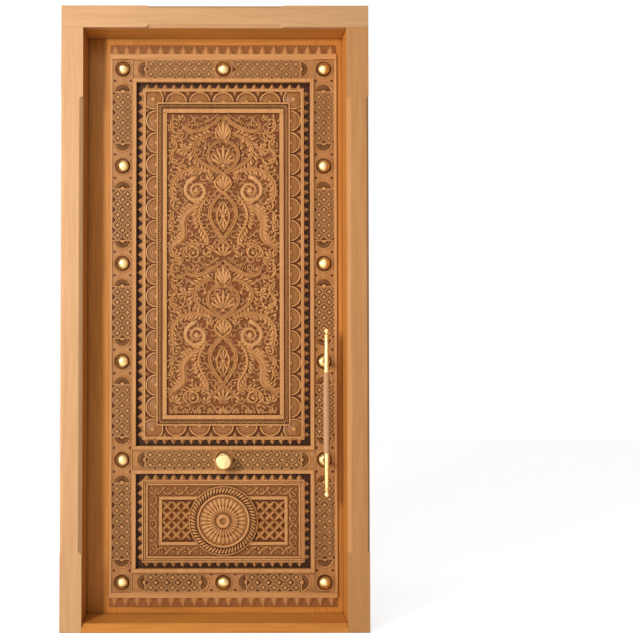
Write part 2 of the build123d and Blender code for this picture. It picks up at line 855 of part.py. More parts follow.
# Lower panel: a board in the grooves, a fillet, a vine band and a grid of small pyramids
lower_half_width = panel_half_width - dentil_width - fit_gap
lower_half_height = lower_panel_height / 2 - dentil_width - fit_gap
lower_front = panel_face - lower_field_rise
vine_front = lower_front + fillet_drop
grid_front = lower_front + grid_drop
vine_half_width = lower_half_width - fillet_band
vine_half_height = lower_half_height - fillet_band
grid_half_width = vine_half_width - vine_band
grid_half_height = vine_half_height - vine_band
with BuildPart() as lower_panel:
    with Locations((design_offset, leaf_middle, lower_centre)):
        Box(2 * (panel_half_width + tongue), panel_thickness, lower_panel_height + 2 * tongue)
    with BuildSketch(face_plane(design_offset, panel_face, lower_centre)):
        Rectangle(2 * lower_half_width, 2 * lower_half_height)
    extrude(amount=lower_field_rise)
    with BuildSketch(face_plane(design_offset, lower_front, lower_centre)):
        Rectangle(2 * vine_half_width, 2 * vine_half_height)
    extrude(amount=-fillet_drop, mode=Mode.SUBTRACT)
    with BuildSketch(face_plane(design_offset, vine_front, lower_centre)):
        Rectangle(2 * grid_half_width, 2 * grid_half_height)
    extrude(amount=fillet_drop - grid_drop, mode=Mode.SUBTRACT)
    leaf_spots = []
    for half_run, half_rise, along_x in (
        (vine_half_width - vine_band, vine_half_height - vine_band / 2, True),
        (vine_half_height - vine_band, vine_half_width - vine_band / 2, False),
    ):
        count = round(2 * half_run / vine_pitch)
        for i in range(count):
            run = 2 * half_run * ((i + 1 / 2) / count - 1 / 2)
            turn = vine_turn_angle if i % 2 else -vine_turn_angle
            for side in (-1, 1):
                x, z = (run, side * half_rise) if along_x else (side * half_rise, run)
                lean = turn if along_x else 90 - turn
                if math.hypot(x, z) < rosette_radius + vine_leaf_length / 2:
                    continue
                leaf_spots.append(Location((design_offset + x, vine_front, lower_centre + z), (0, lean, 0)))
    half_length, half_width = vine_leaf_length / 2, vine_leaf_width / 2
    with Locations(*leaf_spots):
        Wedge(
            vine_leaf_length, vine_leaf_height, vine_leaf_width,
            half_length, half_width, half_length, half_width,
            rotation=(180, 0, 0), align=(Align.CENTER, Align.MIN, Align.CENTER),
        )
    chip_spots = []
    for i in range(grid_columns):
        x = grid_half_width - grid_border - grid_pitch * (i + 1 / 2)
        for j in range(grid_rows):
            z = lower_centre + grid_pitch * (j + 1 / 2 - grid_rows / 2)
            chip_spots += [(design_offset + x, grid_front, z), (design_offset - x, grid_front, z)]
    with Locations(*chip_spots):
        Wedge(
            grid_pitch, grid_pyramid_height, grid_pitch,
            grid_pitch / 2, grid_pitch / 2, grid_pitch / 2, grid_pitch / 2,
            rotation=(180, 0, 0), align=(Align.CENTER, Align.MIN, Align.CENTER),
        )
    with BuildSketch(face_plane(design_offset, grid_front, lower_centre)):
        RegularPolygon(rosette_radius + fit_gap, rosette_sides)
    extrude(amount=panel_thickness, mode=Mode.SUBTRACT)
keep(lower_panel, "lower_panel")


def rosette_plane(height):
    return face_plane(design_offset, grid_front - height, lower_centre)


# Rosette in its round seat: rope ring, dish with two rows of petals, hollow bud
dish_floor = rosette_rim_height + rosette_rope_height - rosette_dish_depth
petal_rows = (
    (rosette_petals, rosette_petal_inner_radius, rosette_floor_radius),
    (rosette_inner_petals, rosette_bud_radius, rosette_petal_inner_radius),
)
rope_top = rosette_rim_height + rosette_rope_height
rosette_body = turned(
    (
        (rosette_radius, 0),
        (rosette_radius, rosette_rim_height),
        (rosette_rope_outer_radius, rosette_rim_height),
        (rosette_rope_inner_radius, rope_top),
        (rosette_dish_radius, rope_top),
        (rosette_floor_radius, dish_floor),
    ),
    rosette_sides,
)
bud_top = dish_floor + rosette_bud_height
bud = turned(
    (
        (rosette_bud_radius, dish_floor),
        (rosette_bud_top_radius, bud_top),
        (rosette_hole_radius, bud_top),
        (rosette_hole_radius, bud_top - rosette_hole_depth),
    ),
    bud_sides,
)
with BuildPart() as rosette:
    with Locations(rosette_plane(0)):
        add(rosette_body)
        add(bud)
    for petal_count, inner_radius, outer_radius in petal_rows:
        petal_length = outer_radius - inner_radius
        petal_width = 2 * inner_radius * math.tan(math.pi / petal_count)
        peak = petal_peak_share * petal_length
        with Locations(rosette_plane(dish_floor)):
            with PolarLocations((inner_radius + outer_radius) / 2, petal_count):
                Wedge(
                    petal_length, rosette_petal_height, petal_width,
                    peak, petal_width / 2, peak, petal_width / 2,
                    rotation=(90, 0, 0), align=(Align.CENTER, Align.MIN, Align.CENTER),
                )
keep(rosette, "rosette")

# Brass studs on the crossings of the carved bands; two places on the lock side carry the handle
stud_places = [(design_offset - column_offset, z) for z in stud_heights]
stud_places += [(handle_x, z) for z in stud_heights if z not in (upper_post, lower_post)]
stud_places += [(design_offset, top_frieze_centre), (design_offset, bottom_frieze_centre)]
upright = (Align.CENTER, Align.CENTER, Align.MIN)
stud = turned(
    ((stud_radius, 0), (stud_shoulder_radius, stud_shoulder_height), (stud_top_radius, stud_height)),
    stud_sides,
)
with BuildPart() as studs:
    with Locations(*[face_plane(x, overlay_front, z) for x, z in stud_places]):
        add(stud)
keep(studs, "studs")

# Turned centre knob, fixed to the lock rail
knob_head = knob_rose_height + knob_neck_length
knob_waist = knob_head + (knob_standoff - knob_head) / 2
knob = turned(
    (
        (knob_rose_radius, 0),
        (knob_neck_radius, knob_rose_height),
        (knob_neck_radius, knob_head),
        (knob_radius, knob_waist),
        (knob_radius, knob_waist + knob_rim),
        (knob_face_radius, knob_standoff),
    ),
    turned_sides,
)
with BuildPart() as centre_knob:
    with Locations(face_plane(design_offset, overlay_front, lock_frieze_centre)):
        add(knob)
keep(centre_knob, "centre_knob")

# Pull handle: a wooden grip between two brass castings
finial_start = sleeve_length + finial_collar_height
ball_start = finial_start + finial_neck_height
ball_middle = ball_start + finial_ball_radius
bar = turned(
    (
        (sleeve_radius, 0),
        (sleeve_end_radius, sleeve_length),
        (finial_collar_radius, sleeve_length),
        (finial_collar_radius, finial_start),
        (finial_neck_radius, finial_start),
        (finial_neck_radius, ball_start),
        (finial_ball_radius, ball_middle),
        (finial_ball_flat_radius, ball_middle + finial_ball_radius),
    ),
    turned_sides,
)
post = turned(
    (
        (handle_rose_radius, 0),
        (handle_post_radius, handle_rose_height),
        (handle_post_radius, handle_standoff),
    ),
    turned_sides,
)
castings = (
    ("handle_upper_fitting", upper_post, grip_top, 0),
    ("handle_lower_fitting", lower_post, grip_bottom, 180),
)
for casting_name, level, start, turn in castings:
    with BuildPart() as casting:
        with Locations(Location((handle_x, handle_y, start), (turn, 0, 0))):
            add(bar)
        with Locations(face_plane(handle_x, overlay_front, level)):
            add(post)
    keep(casting, casting_name)

grip = turned(
    ((grip_end_radius, 0), (grip_radius, grip_length / 2), (grip_end_radius, grip_length)), turned_sides
)
with BuildPart() as handle_grip:
    with Locations((handle_x, handle_y, grip_bottom)):
        add(grip)
keep(handle_grip, "handle_grip")

# Three lift-off hinges on the back: pins on the frame flaps, bored knuckles on the leaf flaps
hinge_levels = (leaf_bottom + hinge_end_distance, (leaf_bottom + leaf_top) / 2, leaf_top - hinge_end_distance)
flap_range = (leaf_back, leaf_back + flap_thickness)
knuckle_length = (hinge_height - knuckle_clearance) / 2
flap_inner = knuckle_radius + knuckle_clearance
knuckle = turned(((knuckle_radius, 0), (knuckle_radius, knuckle_length)), knuckle_sides)
with BuildPart() as hinge_frame_flaps:
    for level in hinge_levels:
        low, high = around(level, hinge_height)
        board((hinge_x - flap_width, hinge_x - flap_inner), flap_range, (low, high))
        board((hinge_x - flap_inner, hinge_x), flap_range, (low, low + knuckle_length))
        with Locations((hinge_x, hinge_y, low)):
            add(knuckle)
            Cylinder(pin_radius, knuckle_length + pin_length, align=upright)
keep(hinge_frame_flaps, "hinge_frame_flaps")

with BuildPart() as hinge_leaf_flaps:
    for level in hinge_levels:
        low, high = around(level, hinge_height)
        board((hinge_x + flap_inner, hinge_x + flap_width), flap_range, (low, high))
        board((hinge_x, hinge_x + flap_inner), flap_range, (high - knuckle_length, high))
        with Locations((hinge_x, hinge_y, high - knuckle_length)):
            add(knuckle)
    with Locations(*[(hinge_x, hinge_y, level) for level in hinge_levels]):
        Cylinder(pin_radius + running_gap, hinge_height, mode=Mode.SUBTRACT)
keep(hinge_leaf_flaps, "hinge_leaf_flaps")

# Deadlock case with its forend, in the lock stile
bolt_front = leaf_right - bolt_setback
bolt_back = bolt_front - bolt_length
with BuildPart() as lock_case:
    board(
        (case_left, leaf_right - forend_thickness),
        around(leaf_middle, case_thickness),
        around(lock_height, case_height),
    )
    board(
        (leaf_right - forend_thickness, leaf_right),
        around(leaf_middle, forend_width),
        around(lock_height, forend_height),
    )
    board(
        (bolt_back - overrun, leaf_right),
        around(leaf_middle, bolt_thickness + 2 * fit_gap),
        around(lock_height, bolt_height + 2 * fit_gap),
        mode=Mode.SUBTRACT,
    )
keep(lock_case, "lock_case")

with BuildPart() as deadbolt:
    board(
        (bolt_back, bolt_front),
        around(leaf_middle, bolt_thickness),
        around(lock_height, bolt_height),
    )
keep(deadbolt, "deadbolt")

# Thumbturn and its rose on the back of the leaf
rose_back = leaf_back + turn_rose_thickness
turn_start = rose_back + fit_gap
spindle_end = leaf_middle + case_thickness / 2 + fit_gap
with BuildPart() as thumbturn_rose:
    board(
        around(turn_x, turn_rose_width),
        (leaf_back, rose_back),
        around(lock_height, turn_rose_height),
    )
    board(
        around(turn_x, 2 * (spindle_radius + fit_gap)),
        (leaf_back, rose_back),
        around(lock_height, 2 * (spindle_radius + fit_gap)),
        mode=Mode.SUBTRACT,
    )
keep(thumbturn_rose, "thumbturn_rose")

turn_plane = Plane(origin=(turn_x, turn_start, lock_height), x_dir=(-1, 0, 0), z_dir=(0, 1, 0))
with BuildPart() as thumbturn:
    with BuildSketch(turn_plane):
        Rectangle(turn_width, turn_length)
    extrude(amount=turn_depth)
    with BuildSketch(turn_plane):
        Circle(spindle_radius)
    extrude(amount=spindle_end - turn_start)
keep(thumbturn, "thumbturn")
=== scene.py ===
"""Looks of the carved entrance door: fine carving, brass, finishes, light and camera.

Metres, in the solids' own frame: front towards -Y, +Z up.
"""

import math

import bpy
from mathutils import Matrix, Vector


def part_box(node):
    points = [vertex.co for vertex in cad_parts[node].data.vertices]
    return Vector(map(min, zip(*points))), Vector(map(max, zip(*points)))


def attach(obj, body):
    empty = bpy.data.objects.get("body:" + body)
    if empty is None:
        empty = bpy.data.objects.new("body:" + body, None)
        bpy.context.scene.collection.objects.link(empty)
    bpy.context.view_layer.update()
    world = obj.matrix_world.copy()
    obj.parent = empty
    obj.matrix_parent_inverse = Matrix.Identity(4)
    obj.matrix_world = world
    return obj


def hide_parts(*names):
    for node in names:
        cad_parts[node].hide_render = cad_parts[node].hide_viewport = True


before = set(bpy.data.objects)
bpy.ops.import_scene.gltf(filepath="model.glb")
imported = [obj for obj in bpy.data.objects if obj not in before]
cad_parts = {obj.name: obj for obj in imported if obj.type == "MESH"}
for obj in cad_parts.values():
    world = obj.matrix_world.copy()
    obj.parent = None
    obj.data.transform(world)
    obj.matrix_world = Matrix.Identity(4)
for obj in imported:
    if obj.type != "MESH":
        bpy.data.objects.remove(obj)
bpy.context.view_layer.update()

MM = 0.001

# Places read from the solids
column_low, column_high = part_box("carved_column_hinge")
lock_column_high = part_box("carved_column_lock")[1]
top_low, top_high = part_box("frieze_top")
rail_low, rail_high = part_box("frieze_lock")
foot_low, foot_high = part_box("frieze_bottom")
face_y = column_low.y
leaf_y = column_high.y
middle_x = (column_low.x + lock_column_high.x) / 2
panel_half = (top_high.x - top_low.x) / 2
top_z = (top_low.z + top_high.z) / 2
rail_z = (rail_low.z + rail_high.z) / 2
foot_z = (foot_low.z + foot_high.z) / 2

# Carving sizes
band = 74 * MM
column_offset = panel_half + band / 2
ground_depth = 7 * MM
shell_reach = 84 * MM
plain_centre = 36 * MM
dish_radius = 30 * MM
shell_radius = 29 * MM
hoop_radius, hoop_width, hoop_rise = 31.5 * MM, 7 * MM, ground_depth - 0.3 * MM
eye_x, eye_z, eye_radius = 29 * MM, 43 * MM, 5.4 * MM
column_plate, frieze_plate = 37 * MM, 35 * MM
cell_size = 36.9 * MM
bays = 4
bay = (top_z - rail_z) / bays
stud_levels = [foot_z] + [rail_z + bay * i for i in range(bays + 1)]
handle_x = middle_x + column_offset


def only(obj):
    """Select one piece alone and make it active."""
    bpy.ops.object.select_all(action="DESELECT")
    obj.select_set(True)
    bpy.context.view_layer.objects.active = obj


def settle(obj):
    """Put a piece's place into its mesh."""
    only(obj)
    bpy.ops.object.transform_apply(location=True, rotation=True, scale=True)
    return obj


def join(pieces, name):
    """Join pieces into one, named, with its place in its mesh."""
    bpy.ops.object.select_all(action="DESELECT")
    for piece in pieces:
        piece.select_set(True)
    bpy.context.view_layer.objects.active = pieces[0]
    bpy.ops.object.join()
    whole = bpy.context.active_object
    whole.name = name
    whole.data.name = name
    return settle(whole)


def copies(pattern, spots):
    """Copies of a pattern, each with its own mesh, at (x, y, z, turn about Y, sizes).

    The pattern itself goes.
    """
    made = []
    for x, y, z, turn, *sizes in spots:
        twin = pattern.copy()
        twin.data = pattern.data.copy()
        bpy.context.scene.collection.objects.link(twin)
        size = Matrix.Diagonal((*(sizes or (1, 1, 1)), 1))
        twin.matrix_world = Matrix.Translation((x, y, z)) @ Matrix.Rotation(turn, 4, "Y") @ size
        made.append(twin)
    bpy.data.objects.remove(pattern)
    return made


def outward(obj):
    """Merge doubles and turn every face outwards."""
    only(obj)
    bpy.ops.object.mode_set(mode="EDIT")
    bpy.ops.mesh.select_all(action="SELECT")
    bpy.ops.mesh.remove_doubles(threshold=0.00001)
    bpy.ops.mesh.normals_make_consistent(inside=False)
    bpy.ops.object.mode_set(mode="OBJECT")
    return obj


def smooth(obj, angle=40):
    only(obj)
    bpy.ops.object.shade_smooth_by_angle(angle=math.radians(angle))
    return obj


def block(low, high, edge=0.0):
    """A board between two corners, with its edges eased."""
    bpy.ops.object.select_all(action="DESELECT")
    centre = (Vector(low) + Vector(high)) / 2
    bpy.ops.mesh.primitive_cube_add(size=1, location=centre)
    board = bpy.context.active_object
    board.scale = Vector(high) - Vector(low)
    settle(board)
    if edge:
        ease = board.modifiers.new("ease", "BEVEL")
        ease.width = edge
        ease.segments = 2
        bpy.ops.object.modifier_apply(modifier=ease.name)
    return board


def in_mm(profile):
    """A profile drawn in millimetres."""
    return [(radius * MM, height * MM) for radius, height in profile]


def lathe(profile, sides=32, angle=40):
    """A turned piece along +Z from (radius, height) pairs, drawn out ring by ring."""
    bpy.ops.object.select_all(action="DESELECT")
    radius, height = profile[0]
    bpy.ops.mesh.primitive_circle_add(
        vertices=sides, radius=radius, fill_type="NGON", location=(0, 0, height)
    )
    piece = settle(bpy.context.active_object)
    bpy.ops.object.mode_set(mode="EDIT")
    bpy.ops.mesh.select_all(action="SELECT")
    for next_radius, next_height in profile[1:]:
        bpy.ops.mesh.extrude_region_move(TRANSFORM_OT_translate={"value": (0, 0, next_height - height)})
        grow = next_radius / radius
        bpy.ops.transform.resize(value=(grow, grow, 1), center_override=(0, 0, next_height))
        radius, height = next_radius, next_height
    bpy.ops.object.mode_set(mode="OBJECT")
    outward(piece)
    return smooth(piece, angle)


def face_front(obj):
    """Turn a piece that rises along +Z so that it rises towards the viewer."""
    obj.rotation_euler = (math.radians(90), 0, 0)
    return settle(obj)


def strap(points, width, rise, sections=4, flat=False):
    """A half-round or flat carved strap through (x, z, share of width) points, lying in the XZ plane."""
    line = bpy.data.curves.new("strap", "CURVE")
    line.dimensions = "3D"
    line.bevel_depth = width / math.sqrt(2) if flat else width / 2
    line.bevel_resolution = 0 if flat else 1
    line.resolution_u = sections
    line.use_fill_caps = True
    spline = line.splines.new("NURBS")
    spline.points.add(len(points) - 1)
    for place, (x, z, share) in zip(spline.points, points):
        place.co = (x, 0, z, 1)
        place.radius = share
        place.tilt = math.radians(45) if flat else 0
    spline.order_u = 4
    spline.use_endpoint_u = True
    bar = bpy.data.objects.new("strap", line)
    bpy.context.scene.collection.objects.link(bar)
    only(bar)
    bpy.ops.object.convert(target="MESH")
    bar = bpy.context.active_object
    bar.scale.y = rise / (width / 2)
    return smooth(settle(bar), 40 if flat else 60)


def spiral(centre, outer, inner, start, turns, taper=0.55, steps=9):
    """Points of a scroll that winds in from outer to inner radius; angles run up from +X towards +Z."""
    points = []
    count = int(abs(turns) * steps) + 1
    for i in range(count + 1):
        share = i / count
        angle = start + 2 * math.pi * turns * share
        radius = outer + (inner - outer) * share**0.8
        points.append(
            (centre[0] + radius * math.cos(angle), centre[1] + radius * math.sin(angle), 1 - taper * share)
        )
    return points


def upper_half(obj):
    """Cut away what lies below z = 0 and close the cut."""
    only(obj)
    bpy.ops.object.mode_set(mode="EDIT")
    bpy.ops.mesh.select_all(action="SELECT")
    bpy.ops.mesh.bisect(plane_co=(0, 0, 0), plane_no=(0, 0, 1), clear_inner=True, use_fill=True)
    bpy.ops.object.mode_set(mode="OBJECT")
    return obj


def button():
    """A round button, 1 across the radius and 1 high, that rises towards the viewer from y = 0."""
    profile = [(1, -0.2), (1, 0)]
    for i in range(1, 5):
        turn = math.pi / 2 * i / 5
        profile.append((math.cos(turn), math.sin(turn)))
    return face_front(lathe(profile, 12, 60))


def ring(radius, thick, rise, half=False):
    """A half-round ring in the XZ plane, or only its part above z = 0."""
    bpy.ops.object.select_all(action="DESELECT")
    bpy.ops.mesh.primitive_torus_add(
        major_radius=radius, minor_radius=thick / 2, major_segments=24, minor_segments=8,
        rotation=(math.radians(90), 0, 0),
    )
    hoop = bpy.context.active_object
    hoop.scale.z = rise / (thick / 2)
    settle(hoop)
    if half:
        upper_half(hoop)
    return smooth(hoop, 60)


def blade():
    """A round-ended leaf from the origin up along +Z: 1 long, 1 wide, 1 high, broadest near its tip."""
    bpy.ops.object.select_all(action="DESELECT")
    bpy.ops.mesh.primitive_uv_sphere_add(segments=8, ring_count=5, radius=0.5)
    leaf = bpy.context.active_object
    leaf.scale = (1, 2, 1)
    leaf.location.z = 0.5
    settle(leaf)
    for corner in leaf.data.vertices:
        corner.co.x *= 0.4 + 0.75 * max(corner.co.z, 0)
    return smooth(leaf, 60)


def tooth(width, length, rise, tip=0.35):
    """A carved point: broad end on z = 0, tip up, its ridge towards the viewer."""
    bpy.ops.object.select_all(action="DESELECT")
    bpy.ops.mesh.primitive_cone_add(vertices=3, radius1=1, radius2=0, depth=1)
    point = bpy.context.active_object
    feet = [(width / 2, 0, 0), (-width / 2, 0, 0), (0, -rise * tip, length)]
    for corner in point.data.vertices:
        corner.co = (0, -rise, 0) if corner.co.z > 0 else feet.pop()
    return outward(point)


def carve_away(obj, cutters):
    """Cut other pieces out of one; the cutters go."""
    for cutter in cutters:
        cut = obj.modifiers.new("cut", "BOOLEAN")
        cut.object = cutter
        cut.operation = "DIFFERENCE"
        only(obj)
        bpy.ops.object.modifier_apply(modifier=cut.name)
        bpy.data.objects.remove(cutter)
    return obj


def rim(low, high, inset, width, front, back, edge=1 * MM):
    """Four boards that make a square rim."""
    x0, x1, z0, z1 = low.x + inset, high.x - inset, low.z + inset, high.z - inset
    return [
        block((x0, front, z0), (x1, back, z0 + width), edge),
        block((x0, front, z1 - width), (x1, back, z1), edge),
        block((x0, front, z0 + width), (x0 + width, back, z1 - width), edge),
        block((x1 - width, front, z0 + width), (x1, back, z1 - width), edge),
    ]


def around_frame(inset, pitch, low, high):
    """Spots (x, z, turn) along the four sides of a frame, with the turn that faces outwards."""
    spots = []
    width, height = high.x - low.x - 2 * inset, high.z - low.z - 2 * inset
    across, up = round(width / pitch), round(height / pitch)
    for i in range(across):
        x = low.x + inset + width * (i + 0.5) / across
        spots += [(x, high.z - inset, 0), (x, low.z + inset, math.pi)]
    for i in range(up):
        z = low.z + inset + height * (i + 0.5) / up
        spots += [(high.x - inset, z, math.pi / 2), (low.x + inset, z, -math.pi / 2)]
    return spots


def new_material(name):
    material = bpy.data.materials.new(name)
    material.use_nodes = True
    return material, material.node_tree, material.node_tree.nodes["Principled BSDF"]


def set_inputs(node, **values):
    """Put constants on a node's sockets."""
    for socket, value in values.items():
        node.inputs[socket.replace("_", " ")].default_value = value
    return node


def shader(tree, kind, **values):
    """A new node of one kind, with constants on its sockets."""
    return set_inputs(tree.nodes.new("ShaderNode" + kind), **values)


def tone_ramp(tree, low, low_tone, high, high_tone):
    """A ramp from one tone to another between two places."""
    ramp = shader(tree, "ValToRGB")
    first, last = ramp.color_ramp.elements
    first.position = low
    first.color = (*low_tone, 1)
    last.position = high
    last.color = (*high_tone, 1)
    return ramp


def tint(tree):
    """A node that multiplies two tones."""
    mix = shader(tree, "Mix")
    mix.data_type = "RGBA"
    mix.blend_type = "MULTIPLY"
    mix.inputs["Factor"].default_value = 1
    return mix


def sum_node(tree, operation):
    """A node that makes one number of two."""
    node = shader(tree, "Math")
    node.operation = operation
    return node


def wire(tree, *joints):
    """Link nodes, each joint as (node, output, next node, input)."""
    for source, output, target, socket in joints:
        tree.links.new(source.outputs[output], target.inputs[socket])


def varnished_wood(name, deep, pale, hollow_shade_tone, grain_turn=0.0, shade_depths=None, roughness=0.42):
    """Varnished timber, grain along Z or turned, with painted shade: ambient occlusion darkens its corners
    and hollows towards the hollow tone. The last argument, when given, is the y of the carving's front and
    ground, and the colour then darkens with depth between them, also as painted shade.
    """
    material, tree, surface = new_material(name)
    place = shader(tree, "TexCoord")
    turn = shader(tree, "Mapping", Rotation=(0, grain_turn, 0))
    stretch = shader(tree, "Mapping", Scale=(46, 46, 2.2))
    figure = shader(tree, "TexNoise", Scale=1.6, Detail=7, Roughness=0.62, Distortion=0.5)
    tones = tone_ramp(tree, 0.3, deep, 0.72, pale)
    fine = shader(tree, "Mapping", Scale=(420, 420, 16))
    pores = shader(tree, "TexNoise", Scale=1.0, Detail=3)
    # Ambient occlusion darkens the colour in corners and hollows: painted shade.
    corner = shader(tree, "AmbientOcclusion", Distance=12 * MM)
    corner.samples = 6
    corner_shade = tone_ramp(tree, 0.2, hollow_shade_tone, 0.8, (1, 1, 1))
    shade = tint(tree)
    wear = shader(tree, "MapRange", To_Min=roughness - 0.08, To_Max=roughness + 0.12)
    grain_relief = shader(tree, "Bump", Strength=0.2, Distance=0.0006)
    wire(
        tree,
        (place, "Object", turn, "Vector"),
        (turn, "Vector", stretch, "Vector"),
        (turn, "Vector", fine, "Vector"),
        (stretch, "Vector", figure, "Vector"),
        (fine, "Vector", pores, "Vector"),
        (figure, "Fac", tones, "Fac"),
        (corner, "AO", corner_shade, "Fac"),
        (tones, "Color", shade, "A"),
        (corner_shade, "Color", shade, "B"),
        (pores, "Fac", wear, "Value"),
        (wear, "Result", surface, "Roughness"),
        (pores, "Fac", grain_relief, "Height"),
        (grain_relief, "Normal", surface, "Normal"),
    )
    coloured = shade
    # The colour darkens from the carving's front back to its ground: painted shade in the hollows. Faces 12
    # to 16 mm or more behind the ground go back to their full tone.
    if shade_depths:
        front, ground = shade_depths
        axes = shader(tree, "SeparateXYZ")
        depth = shader(tree, "MapRange", From_Min=ground, From_Max=front)
        behind = shader(tree, "MapRange", From_Min=ground + 12 * MM, From_Max=ground + 16 * MM)
        unshaded = sum_node(tree, "MAXIMUM")
        depth_shade = tone_ramp(tree, 0.0, hollow_shade_tone, 0.75, (1, 1, 1))
        coloured = tint(tree)
        wire(
            tree,
            (place, "Object", axes, "Vector"),
            (axes, "Y", depth, "Value"),
            (axes, "Y", behind, "Value"),
            (depth, "Result", unshaded, 0),
            (behind, "Result", unshaded, 1),
            (unshaded, "Value", depth_shade, "Fac"),
            (shade, "Result", coloured, "A"),
            (depth_shade, "Color", coloured, "B"),
        )
    wire(tree, (coloured, "Result", surface, "Base Color"))
    set_inputs(surface, Specular_IOR_Level=0.16, Coat_Weight=0.04, Coat_Roughness=0.25)
    return material


def polished_metal(name, colour, roughness, scratch):
    """Metal with faint uneven polish."""
    material, tree, surface = new_material(name)
    set_inputs(surface, Metallic=1)
    place = shader(tree, "TexCoord")
    cloud = shader(tree, "TexNoise", Scale=scratch, Detail=5)
    tarnish = tone_ramp(tree, 0.25, [c * 0.72 for c in colour], 0.6, colour)
    wear = shader(tree, "MapRange", To_Min=roughness * 0.7, To_Max=roughness * 1.5)
    relief = shader(tree, "Bump", Strength=0.06, Distance=0.0004)
    wire(
        tree,
        (place, "Object", cloud, "Vector"),
        (cloud, "Fac", tarnish, "Fac"),
        (tarnish, "Color", surface, "Base Color"),
        (cloud, "Fac", wear, "Value"),
        (wear, "Result", surface, "Roughness"),
        (cloud, "Fac", relief, "Height"),
        (relief, "Normal", surface, "Normal"),
    )
    return material


def seal_rubber_finish():
    material, _, surface = new_material("black_seal")
    set_inputs(surface, Base_Color=(0.012, 0.011, 0.01, 1), Roughness=0.75)
    return material


along_x = math.radians(90)
# Deep and pale tones of each wood, and the hollow tone that is its painted shade in corners and hollows.
carved_deep, carved_pale, carved_hollow_shade = (0.41, 0.183, 0.06), (0.56, 0.28, 0.105), (0.34, 0.20, 0.10)
casing_deep, casing_pale, casing_hollow_shade = (0.44, 0.236, 0.106), (0.53, 0.305, 0.15), (0.45, 0.34, 0.25)
# Darker, more orange casing tones for the lock-side leg: a shaded copy of the casing wood, painted light.
shaded_copy_deep, shaded_copy_pale = (0.39, 0.18, 0.064), (0.48, 0.24, 0.093)
plain_deep, plain_pale, plain_hollow_shade = (0.42, 0.155, 0.026), (0.58, 0.235, 0.046), (0.35, 0.24, 0.15)


def carved_wood(name, front, ground, grain_turn=0.0, hollow=carved_hollow_shade):
    """The leaf's carved timber, darkened in its hollows between two depths as painted shade."""
    return varnished_wood(name, carved_deep, carved_pale, hollow, grain_turn, (front, ground))


# The hinge-side leg and head get the paler casing wood and the lock-side leg a darker, more orange copy: lit
# and shaded copies of one wood, the paler tone a painted sheen.
casing_upright = varnished_wood("casing_upright", casing_deep, casing_pale, casing_hollow_shade)
casing_level = varnished_wood("casing_level", casing_deep, casing_pale, casing_hollow_shade, along_x)
casing_shaded_copy = varnished_wood("casing_shaded_copy", shaded_copy_deep, shaded_copy_pale, casing_hollow_shade)
plain_upright = varnished_wood("plain_upright", plain_deep, plain_pale, plain_hollow_shade)
plain_level = varnished_wood("plain_level", plain_deep, plain_pale, plain_hollow_shade, along_x)
# Hollow tone of the columns and friezes: painted shade in their hollows.
band_hollow_shade = (0.32, 0.195, 0.11)
band_upright = carved_wood("band_upright", face_y, face_y + ground_depth, hollow=band_hollow_shade)
band_level = carved_wood("band_level", face_y, face_y + ground_depth, along_x, band_hollow_shade)
# The grip's hollow tone is painted shade from ambient occlusion.
grip_beech = varnished_wood(
    "grip_beech", (0.37, 0.19, 0.093), (0.52, 0.295, 0.155), (0.6, 0.5, 0.4), roughness=0.45
)
brass = polished_metal("polished_brass", (0.87, 0.65, 0.29), 0.33, 60)
steel = polished_metal("brushed_steel", (0.56, 0.56, 0.55), 0.34, 90)
seal_black = seal_rubber_finish()

node_groups = (
    (casing_upright, "casing_leg_hinge"),
    (casing_shaded_copy, "casing_leg_lock"),
    (casing_level, "casing_head"),
    (plain_upright, "jamb_hinge jamb_lock keep_block hinge_stile lock_stile"),
    (plain_level, "jamb_head threshold top_rail lock_rail bottom_rail"),
    (seal_black, "rebate_seal"),
    (steel, "strike_plate lock_case deadbolt hinge_frame_flaps hinge_leaf_flaps"),
    (brass, "thumbturn thumbturn_rose studs centre_knob handle_upper_fitting handle_lower_fitting"),
    (grip_beech, "handle_grip"),
)
node_finish = {name: finish for finish, names in node_groups for name in names.split()}
for node_name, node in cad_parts.items():
    node.data.materials.clear()
    node.data.materials.append(node_finish.get(node_name, band_upright))
    weld = node.modifiers.new("weld", "WELD")
    weld.merge_threshold = 0.00001
    ease = node.modifiers.new("ease", "BEVEL")
    ease.width = 0.8 * MM
    ease.segments = 2
    ease.limit_method = "ANGLE"
    ease.angle_limit = math.radians(35)


def add_piece(obj, finish, slot, body, *nodes):
    """Finish a piece: its material, the body it rides on and the solids that it stands for. The slot is not
    used.
    """
    obj.data.materials.clear()
    obj.data.materials.append(finish)
    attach(obj, body)
    if nodes:
        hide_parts(*nodes)


# Patterns shared by the columns and friezes
def lattice_cell():
    """One lozenge of the lattice: four double strands round a small raised lozenge."""
    half = cell_size / 2
    rise = ground_depth - 0.8 * MM
    strand_half, strand_shift, strand_reach = 1.9 * MM, 2.4 * MM, half * 0.72
    pieces = []
    for x, z, turn in ((0.5, 0.5, 45), (0.5, -0.5, -45), (-0.5, -0.5, 45), (-0.5, 0.5, -45)):
        for side in (-1, 1):
            bar = block((-strand_reach, -rise, -strand_half), (strand_reach, 1 * MM, strand_half))
            for corner in bar.data.vertices:
                if corner.co.y < 0:
                    corner.co.z *= 0.72
            bar.location.z = side * strand_shift
            settle(bar)
            bar.rotation_euler = (0, math.radians(turn), 0)
            bar.location = (x * half, 0, z * half)
            pieces.append(settle(bar))
    for x, z in ((0, 0), (half, half)):
        bpy.ops.object.select_all(action="DESELECT")
        bpy.ops.mesh.primitive_cone_add(
            vertices=4, radius1=10.2 * MM, radius2=7.4 * MM, depth=rise,
            location=(x, -rise / 2, z), rotation=(math.radians(90), 0, 0),
        )
        pieces.append(settle(bpy.context.active_object))
    return join(pieces, "lattice_cell")


